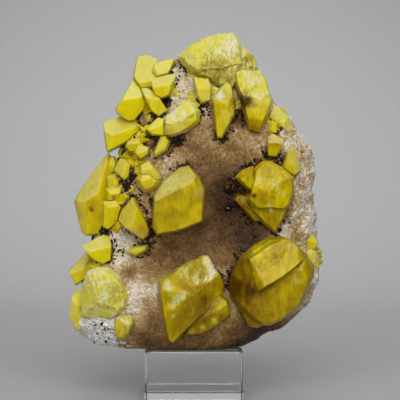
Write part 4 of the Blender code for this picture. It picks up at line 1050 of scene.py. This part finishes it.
def seedling():
    """A small sulphur crystal: a four-sided bipyramid in two slopes with a flat tip, its rings
    (half width, height) drawn to four corners each."""
    rings = np.array([(0.16, 1.0), (0.6, 0.62), (1.0, 0.0), (0.6, -0.62), (0.16, -1.0)])
    corner = np.array([(1.0, 0.0), (0.0, 0.8), (-1.0, 0.0), (0.0, -0.8)])
    heights = np.broadcast_to(rings[:, None, 1:], (5, 4, 1))
    points = np.concatenate([rings[:, None, :1] * corner, heights], axis=2)
    sides = grid_triangles(4, 4, closed=True)
    caps = np.array([(0, 1, 2), (0, 2, 3), (18, 17, 16), (19, 18, 16)])
    return points.reshape(-1, 3), np.concatenate([sides, caps])


def crumb():
    """A lump of twenty faces: an icosahedron, its twelve corners by the golden ratio."""
    gold = (1 + math.sqrt(5)) / 2
    corners = np.array([
        (-1, gold, 0), (1, gold, 0), (-1, -gold, 0), (1, -gold, 0), (0, -1, gold), (0, 1, gold),
        (0, -1, -gold), (0, 1, -gold), (gold, 0, -1), (gold, 0, 1), (-gold, 0, -1), (-gold, 0, 1),
    ]) / math.hypot(1, gold)
    triangles = np.array([
        (0, 11, 5), (0, 5, 1), (0, 1, 7), (0, 7, 10), (0, 10, 11), (1, 5, 9), (5, 11, 4), (11, 10, 2),
        (10, 7, 6), (7, 1, 8), (3, 9, 4), (3, 4, 2), (3, 2, 6), (3, 6, 8), (3, 8, 9), (4, 9, 5),
        (2, 4, 11), (6, 2, 10), (8, 6, 7), (9, 8, 1),
    ])
    return corners, triangles


# Materials

def linear(colour):
    """An sRGB hex colour as linear red, green, blue and 1."""
    channels = [int(colour[i : i + 2], 16) / 255 for i in (1, 3, 5)]
    return (*[c / 12.92 if c <= 0.04045 else ((c + 0.055) / 1.055) ** 2.4 for c in channels], 1.0)


def plug(tree, node, sockets):
    """Gives each of a node's sockets a value, another node's first output, or a (node, output)."""
    for socket, value in sockets.items():
        if isinstance(value, bpy.types.Node):
            value = (value, 0)
        if isinstance(value, tuple) and isinstance(value[0], bpy.types.Node):
            tree.links.new(value[0].outputs[value[1]], node.inputs[socket])
        else:
            node.inputs[socket].default_value = value


def add(tree, kind, sockets, stops=(), **settings):
    """Adds a node with its settings and sockets. Stops are a colour ramp's places and colours, its
    two ends first. Sockets that share a name go by number: 0 to 2 of a Math are its values, 1 to 4 of
    a Map Range the lowest and highest value taken in and given out, and of a Mix 0 is the factor, 4
    and 5 are the vectors, and 6 and 7 the colours."""
    made = tree.nodes.new("ShaderNode" + kind)
    for name, value in settings.items():
        setattr(made, name, value)
    plug(tree, made, sockets)
    for i, (place, colour) in enumerate(stops):
        ramp = made.color_ramp.elements
        stop = ramp[i] if i < 2 else ramp.new(place)
        stop.position, stop.color = place, linear(colour)
    return made


def finish(name, **sockets):
    """A new material, its node tree, its Principled shader with these values on its own sockets, and
    the Object coordinates that its patterns read."""
    made = bpy.data.materials.new(name)
    made.use_nodes = True
    tree = made.node_tree
    shader = tree.nodes["Principled BSDF"]
    plug(tree, shader, {socket.replace("_", " "): value for socket, value in sockets.items()})
    return made, tree, shader, (add(tree, "TexCoord", {}), "Object")


def per_mm(size):
    """A texture's scale for a pattern of that many millimetres."""
    return 1.0 / (size * MM)


def sulphur_depths(tree, at, wisps, streaks):
    """The colour of clear sulphur: lemon yellow, ochre in the thick of clouds 5 mm across and between
    the wisps, brown where it is stained amber."""
    amber = add(tree, "Attribute", {}, attribute_name="amber")
    clouds = add(tree, "TexNoise", {"Vector": at, "Scale": per_mm(5.0), "Detail": 3.0, "Distortion": 0.6})
    strength = 0.15 + 0.12 * streaks
    low = 0.39 + 0.5 * strength
    cloud = add(tree, "MapRange", {"Value": clouds, 1: 0.3, 2: 0.7, 3: low, 4: low + 0.15})
    stained = add(tree, "Math", {0: (amber, "Fac"), 1: 0.6, 2: cloud}, operation="MULTIPLY_ADD")
    deep = add(tree, "Math", {0: wisps, 1: -strength, 2: stained}, operation="MULTIPLY_ADD")
    return add(tree, "ValToRGB", {"Fac": deep}, stops=[
        (0.42, "#E8D900"), (1.0, "#543600"), (0.6, "#D6C000"), (0.74, "#AE9300"), (0.88, "#866800"),
    ])


def sulphur_veils(tree, at, wisps, streaks):
    """How pale the sulphur is: as the body's own tone says, with the painted sheen on faces turned up,
    more in the wisps and in healed cracks, thin sheets between cells of 4 mm made to wander, and a
    little along the edges, a painted highlight."""
    pale = add(tree, "Attribute", {}, attribute_name="pale")
    edge = add(tree, "Attribute", {}, attribute_name="edge")
    wander = add(tree, "TexNoise", {"Vector": at, "Scale": per_mm(7.0), "Detail": 4.0})
    bent = add(tree, "Mix", {0: 0.012, 4: at, 5: (wander, "Color")}, data_type="VECTOR")
    cracks = add(
        tree, "TexVoronoi", {"Vector": (bent, 1), "Scale": per_mm(4.0)}, feature="DISTANCE_TO_EDGE"
    )
    sheet = add(tree, "MapRange", {"Value": cracks, 1: 0.0, 2: 0.09, 3: 1.0, 4: 0.0})
    wisp = add(tree, "MapRange", {"Value": wisps, 1: 0.4, 2: 0.62, 3: -0.5, 4: 0.5})
    veil = add(tree, "Math", {0: sheet, 1: 0.5, 2: wisp}, operation="MULTIPLY_ADD")
    veiled = add(tree, "Math", {0: veil, 1: (pale, "Fac")}, operation="MULTIPLY")
    dull = add(tree, "Math", {0: (pale, "Fac"), 1: 0.75, 2: -0.05}, operation="MULTIPLY_ADD")
    whole = add(tree, "Math", {0: veiled, 1: streaks, 2: dull}, operation="MULTIPLY_ADD")
    # The edges a little paler: a painted highlight along them
    return add(tree, "Math", {0: (edge, "Fac"), 1: 0.06, 2: whole}, operation="MULTIPLY_ADD")


# Native sulphur: resinous rather than glassy, so its reflections are weak and yellowish and the eye
# sees a saturated lemon yellow that the light gets deep into. Veils of healed cracks and crushed
# faces scatter it pale, faces turned up carry a painted pale sheen and the edges a faint painted
# highlight, and bitumen stains it amber.
def make_sulphur(name, roughness, depth, clear, streaks):
    made, tree, shader, at = finish(
        name, IOR=1.96, Specular_IOR_Level=0.09, Specular_Tint=linear("#FFEEAA"),
        Transmission_Weight=clear, Subsurface_Weight=0.85, Subsurface_Scale=depth * MM,
        Subsurface_Radius=(1.0, 0.8, 0.03),
    )
    # Wisps of fine bubbles, 1.5 mm wide and four times as long
    grown = add(tree, "Mapping", {"Vector": at, "Rotation": (0.3, 0.9, 0.5), "Scale": (1.0, 1.0, 0.25)})
    wisps = add(tree, "TexNoise", {
        "Vector": grown, "Scale": per_mm(1.5), "Detail": 5.0, "Distortion": 0.8,
    })
    colour = sulphur_depths(tree, at, wisps, streaks)
    worn = sulphur_veils(tree, at, wisps, streaks)
    lime = add(tree, "Mix", {0: worn, 6: (colour, "Color"), 7: linear("#D3CF7A")}, data_type="RGBA")
    powder = add(tree, "MapRange", {"Value": worn, 1: 0.8, 2: 1.5, 3: 0.0, 4: 1.0})
    base = add(tree, "Mix", {0: powder, 6: (lime, 2), 7: linear("#DDD5BC")}, data_type="RGBA")
    rough = add(tree, "MapRange", {"Value": worn, 1: 0.0, 2: 1.0, 3: roughness, 4: roughness + 0.3})
    # Etching of the faces, drawn at 0.9 mm because the real one is too fine to show, over low waves
    etched = add(tree, "TexNoise", {"Vector": at, "Scale": per_mm(0.9), "Detail": 4.0})
    waves = add(tree, "TexNoise", {"Vector": at, "Scale": per_mm(3.0), "Detail": 2.0})
    soft = add(tree, "Bump", {"Height": waves, "Strength": 0.25, "Distance": 0.6 * MM})
    bump = add(tree, "Bump", {"Height": etched, "Strength": 0.3, "Distance": 0.25 * MM, "Normal": soft})
    plug(tree, shader, {"Base Color": (base, 2), "Roughness": rough, "Normal": bump})
    return made


# Drusy calcite: glassy sugar grains (IOR 1.6) on a granular crust, pale beige where clean and
# brown where bitumen and iron have soaked in, darker still where painted shade lies in the hollows.
# The colour clouds are 1.1 and 6 mm across.
def make_calcite(name, roughness, pale):
    made, tree, shader, at = finish(
        name, IOR=1.6, Specular_IOR_Level=0.22, Subsurface_Weight=0.7, Subsurface_Scale=0.4 * MM,
        Subsurface_Radius=(1.0, 0.9, 0.8), Roughness=roughness,
    )
    # Real staining and painted shade in the hollows between and under the crystals, 0 to 1
    stain_and_shade = add(tree, "Attribute", {}, attribute_name="stain_and_shade")
    grain = add(tree, "TexNoise", {"Vector": at, "Scale": per_mm(1.1), "Detail": 3.0})
    patch = add(tree, "TexNoise", {"Vector": at, "Scale": per_mm(6.0), "Detail": 4.0})
    both = add(tree, "Math", {0: grain, 1: patch}, operation="ADD")
    cloud = add(tree, "MapRange", {"Value": both, 1: 0.7, 2: 1.3, 3: -0.15, 4: 0.25})
    total = add(tree, "Math", {0: cloud, 1: (stain_and_shade, "Fac")}, operation="ADD")
    colour = add(tree, "ValToRGB", {"Fac": total}, stops=[
        (0.0, pale), (1.0, "#422A12"), (0.3, "#B59662"), (0.62, "#7F5D30"),
    ])
    bump = add(tree, "Bump", {"Height": grain, "Strength": 0.4, "Distance": 0.3 * MM})
    plug(tree, shader, {"Base Color": colour, "Normal": bump})
    return made


# Bitumen, drops of natural tar, black-brown and glossy where smooth; and calcite stained by iron,
# rusty and duller. Both are mottled, 1.3 mm across.
def make_tar(name, dark, light, roughness):
    made, tree, shader, at = finish(name, IOR=1.55, Roughness=roughness, Specular_IOR_Level=0.3)
    spots = add(tree, "TexNoise", {"Vector": at, "Scale": per_mm(1.3), "Detail": 3.0})
    colour = add(tree, "ValToRGB", {"Fac": spots}, stops=[(0.42, dark), (0.68, light)])
    bump = add(tree, "Bump", {"Height": spots, "Strength": 0.4, "Distance": 0.2 * MM})
    plug(tree, shader, {"Base Color": colour, "Normal": bump})
    return made


# Cast acrylic, sawn and polished: clear (IOR 1.49), with faint polishing haze 8 mm across.
def make_acrylic():
    made, tree, shader, at = finish(
        "clear cast acrylic", IOR=1.49, Transmission_Weight=1.0, Base_Color=linear("#F4F8F8")
    )
    haze = add(tree, "TexNoise", {"Vector": at, "Scale": per_mm(8.0), "Detail": 4.0})
    rough = add(tree, "MapRange", {"Value": haze, 1: 0.35, 2: 0.7, 3: 0.01, 4: 0.04})
    plug(tree, shader, {"Roughness": rough})
    return made


# Matt painted board under and behind the specimen. The paint's stipple is drawn at 1.5 mm, coarser
# than a roller's, so that it shows.
def make_board():
    made, tree, shader, at = finish("matt painted board", Roughness=0.7)
    paint = add(tree, "TexNoise", {"Vector": at, "Scale": per_mm(1.5), "Detail": 3.0})
    colour = add(tree, "ValToRGB", {"Fac": paint}, stops=[(0.3, "#B4B4B3"), (0.7, "#BABAB9")])
    plug(tree, shader, {"Base Color": colour})
    return made


# The specimen

def make_crystals():
    """Every crystal, its bodies in one piece."""
    glossy = make_sulphur("native sulphur, glossy", roughness=0.28, depth=3.5, clear=0.15, streaks=0.5)
    cracked = make_sulphur("native sulphur, broken", roughness=0.32, depth=2.5, clear=0.1, streaks=1.3)
    powdery = make_sulphur("native sulphur, crushed", roughness=0.5, depth=1.5, clear=0.0, streaks=0.7)
    for number, (name, bodies) in enumerate(CRYSTALS.items(), 1):
        looks = LOOKS[name]
        parts = [crystal_body(*own, seed=10 * number + i) for i, own in enumerate(zip(bodies, looks))]
        _, _, depth = looks[0]
        sulphur = powdery if depth > CRUSHED_FROM else cracked if depth > BROKEN_FROM else glossy
        points, triangles, fields = joined(parts)
        crease = BROKEN_CREASE if depth > BROKEN_FROM else CREASE
        specimen_piece(name, points, triangles, sulphur, fields, smooth_below=crease)


def near_zones(places, zones):
    """How strongly each place lies in the zones of the front view, 0 to 1: the greatest of
    share exp(-(distance / radius)^4), and 0 behind the mid plane."""
    x, z = front_view(places)
    total = np.zeros(len(places))
    for at_x, at_z, radius, share in zones:
        reach = (x - at_x) ** 2 + (z - at_z) ** 2
        total = np.maximum(total, share * np.exp(-((reach / radius**2) ** 2)))
    return total * (places[:, 1] < 0.0)


def make_druse(surface, random):
    """Sugary grains of calcite over the open ground, larger at the right rim, darker beside the
    crystals; in four pieces."""
    calcite = make_calcite("drusy calcite", roughness=0.38, pale="#F3EADC")
    places, normals = scattered(*surface, DRUSE_PLACES, seed=1)
    clear = clearance(places)
    is_open = (clear > DRUSE_CLEAR) & (places[:, 2] > MATRIX_FOOT + DRUSE_FOOT)
    places, normals, clear = places[is_open], normals[is_open], clear[is_open]
    sizes = random.lognormal(*DRUSE_SIZE, len(places)) * (1.0 + RIM_GRAINS * at_rim(places))
    places = places - SUNK * sizes[:, None] * normals
    # Their tone: real staining, and painted shade in the hollows between and under the crystals
    stain_and_shade = stain_and_shade_at(places) + random.normal(0.0, GRAIN_STAIN, len(places))
    stain_and_shade = stain_and_shade + BESIDE_DARKENING * np.exp(-np.maximum(clear, 0.0) / BESIDE)
    shape = rhomb()
    for i, own in enumerate(np.array_split(np.arange(len(places)), 4)):
        grown = grains(places[own], normals[own], sizes[own], shape, tilt=0.5, ragged=0.14, seed=10 + i)
        stain_and_shade_fields = {"stain_and_shade": np.repeat(stain_and_shade[own], len(shape[0]))}
        specimen_piece(f"calcite_druse_{i + 1}", *grown, calcite, stain_and_shade_fields, smooth_below=100.0)


def make_tar_crumbs(ground, facing, clear, random):
    """Bitumen and iron-stained crumbs: along the crystals, thinning out as exp(-(distance / reach)^2),
    in the pools, where they are larger and blacker, and as single drops."""
    along = near_zones(ground, BITUMEN) * np.exp(-(np.maximum(clear, 0.0) / BITUMEN_REACH) ** 2)
    pools = near_zones(ground, [(*pool, 1.0) for pool in BITUMEN_POOLS])
    share = ALONG_SHARE * along + POOL_SHARE * pools + SPECK_SHARE * near_zones(ground, SPECKS)
    drawn = (random.random(len(ground)) < share) & (clear > TAR_CLEAR)
    places, normals, deep = ground[drawn], facing[drawn], pools[drawn]
    sizes = random.lognormal(*TAR_SIZE, len(places)).clip(LEAST_TAR, MOST_TAR)
    sizes = sizes * (1.0 + POOL_CRUMBS * deep)
    black = random.random(len(places)) < BLACK_SHARE + (1.0 - BLACK_SHARE) * deep
    tar = make_tar("bitumen", "#0D0705", "#2E190B", roughness=0.3)
    rusty = make_tar("iron-stained calcite", "#431E08", "#8E5A22", roughness=0.45)
    for name, own, kind, seed in (("bitumen_crumbs", black, tar, 20), ("rusty_crumbs", ~black, rusty, 21)):
        made = grains(places[own], normals[own], sizes[own], crumb(), tilt=0.3, ragged=0.16, seed=seed)
        specimen_piece(name, *made, kind, smooth_below=40.0)


def make_small_sulphur(ground, facing, clear, random):
    """Young sulphur crystals, and the crushed sulphur between broken ones."""
    small = make_sulphur("native sulphur, small", roughness=0.35, depth=0.4, clear=0.0, streaks=0.3)
    kinds = {  # zones, share of the ground's places, least and greatest size, shape, how pale, seed
        "sulphur_seedlings": (SEEDLINGS, 0.045, (0.8, 2.5), seedling(), 0.25, 22),
        "sulphur_rubble": (RUBBLE, 0.14, (0.4, 1.6), crumb(), 0.7, 24),
    }
    for name, (zones, share, size, shape, pale, seed) in kinds.items():
        drawn = random.random(len(ground)) < share * near_zones(ground, zones)
        drawn &= clear > SULPHUR_CLEAR
        places, normals = ground[drawn], facing[drawn]
        sizes = random.uniform(*size, len(places))
        places = places - SUNK * sizes[:, None] * normals
        made = grains(places, normals, sizes, shape, tilt=0.8, ragged=0.05, seed=seed)
        amber = np.repeat(random.uniform(0.0, SMALL_AMBER, len(places)), len(shape[0]))
        fields = {"pale": pale - AMBER_FOR_PALE * amber, "amber": amber, "edge": np.zeros_like(amber)}
        specimen_piece(name, *made, small, fields)


def make_white_crumbs(ground, facing, random):
    """Clean white calcite crumbs over the lower left."""
    drawn = random.random(len(ground)) < WHITE_SHARE * near_zones(ground, WHITE_CRUMBS)
    places, normals = ground[drawn], facing[drawn]
    sizes = random.lognormal(*WHITE_SIZE, len(places))
    points, triangles = grains(places, normals, sizes, crumb(), tilt=0.4, ragged=0.18, seed=23)
    white = make_calcite("white calcite", roughness=0.5, pale="#F4F0EA")
    specimen_piece("white_calcite_crumbs", points, triangles, white, {"stain_and_shade": np.full(len(points), -0.1)})


def make_matrix_pieces():
    """The calcite's crust, and what lies scattered on it."""
    surface = matrix_surface()
    crust = make_calcite("calcite crust", roughness=0.6, pale="#DED0B8")
    # The crust's tone: real staining, and painted shade in the hollows between and under the crystals
    stain_and_shade_fields = {"stain_and_shade": stain_and_shade_at(surface[0]) + CRUST_STAIN}
    specimen_piece("calcite_matrix", *surface, crust, stain_and_shade_fields, smooth_below=60.0)
    random = np.random.default_rng(2)
    make_druse(surface, random)
    ground, facing = scattered(*surface, CRUMB_PLACES, seed=3)
    clear = clearance(ground)
    make_tar_crumbs(ground, facing, clear, random)
    make_small_sulphur(ground, facing, clear, random)
    make_white_crumbs(ground, facing, random)


# Floor, light and camera

FLOOR_FRONT, FLOOR_SIDE = -900.0, 1500.0  # how far the board runs before the specimen and to each side
WALL_FOOT, WALL_CURVE, WALL_TOP = 420.0, 260.0, 1500.0  # where it curves up, how widely, how high it goes
FLOOR_GAP = 0.05  # below the display block


def make_floor():
    """The board: a profile (y, height) that runs level and then curves up behind, carried along x."""
    turn = np.linspace(0.0, math.pi / 2, 25)
    y = np.concatenate([[FLOOR_FRONT], WALL_FOOT + WALL_CURVE * np.sin(turn), [WALL_FOOT + WALL_CURVE]])
    z = np.concatenate([[0.0], WALL_CURVE * (1.0 - np.cos(turn)), [WALL_TOP]]) - FLOOR_GAP
    x = np.linspace(-FLOOR_SIDE, FLOOR_SIDE, 5)
    points = np.stack([np.tile(x, len(y)), np.repeat(y, len(x)), np.repeat(z, len(x))], axis=1)
    triangles = grid_triangles(len(y) - 1, len(x) - 1)[:, ::-1]
    floor = mesh_object("studio_floor", points, triangles, make_board(), smooth_below=40.0)


def area_light(name, place, size, power, spread, target=(0.0, 0.0, 70.0), colour="#FFFFFF"):
    """A soft square light at a place in millimetres, of that many watts, facing the target; a grid
    before it holds its light within spread degrees."""
    light = bpy.data.lights.new(name, "AREA")
    light.shape, light.size, light.energy, light.color = "SQUARE", size * MM, power, linear(colour)[:3]
    light.spread = math.radians(spread)
    lamp = bpy.data.objects.new(name, light)
    lamp.location = Vector(place) * MM
    lamp.rotation_euler = (Vector(target) - Vector(place)).to_track_quat("-Z", "Y").to_euler()
    bpy.context.scene.collection.objects.link(lamp)


def make_lights():
    """Four large soft lights, one overhead, the main one in front, one behind for the back and one on
    the backdrop, and a dim even surround."""
    area_light("overhead", (0.0, -20.0, 620.0), 480.0, power=0.11, spread=60.0, colour="#FFFDF8")
    area_light("front", (10.0, -700.0, 440.0), 600.0, power=1.52, spread=80.0)
    area_light("back", (200.0, 620.0, 560.0), 900.0, power=0.7, spread=110.0)
    area_light("backdrop", (0.0, 200.0, 700.0), 500.0, power=0.6, spread=70.0, target=(0.0, 620.0, 120.0))
    world = bpy.data.worlds.new("surround")
    world.use_nodes = True
    surround = world.node_tree.nodes["Background"]
    plug(world.node_tree, surround, {"Color": linear("#C8CCD2"), "Strength": 0.23})
    bpy.context.scene.world = world
    bpy.context.scene.view_settings.view_transform = "Standard"


def make_camera():
    """The camera, at the viewpoint and level."""
    lens = bpy.data.cameras.new("camera")
    lens.lens, lens.sensor_width, lens.clip_start = LENS, SENSOR, 10.0 * MM
    camera = bpy.data.objects.new("camera", lens)
    camera.location = (EYE_X * MM, -EYE_DISTANCE * MM, EYE_Z * MM)
    camera.rotation_euler = (math.pi / 2, 0.0, 0.0)
    bpy.context.scene.collection.objects.link(camera)
    bpy.context.scene.camera = camera


make_crystals()
make_matrix_pieces()
acrylic = make_acrylic()
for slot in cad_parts["display_block"].material_slots:
    slot.material = acrylic
make_floor()
make_lights()
make_camera()
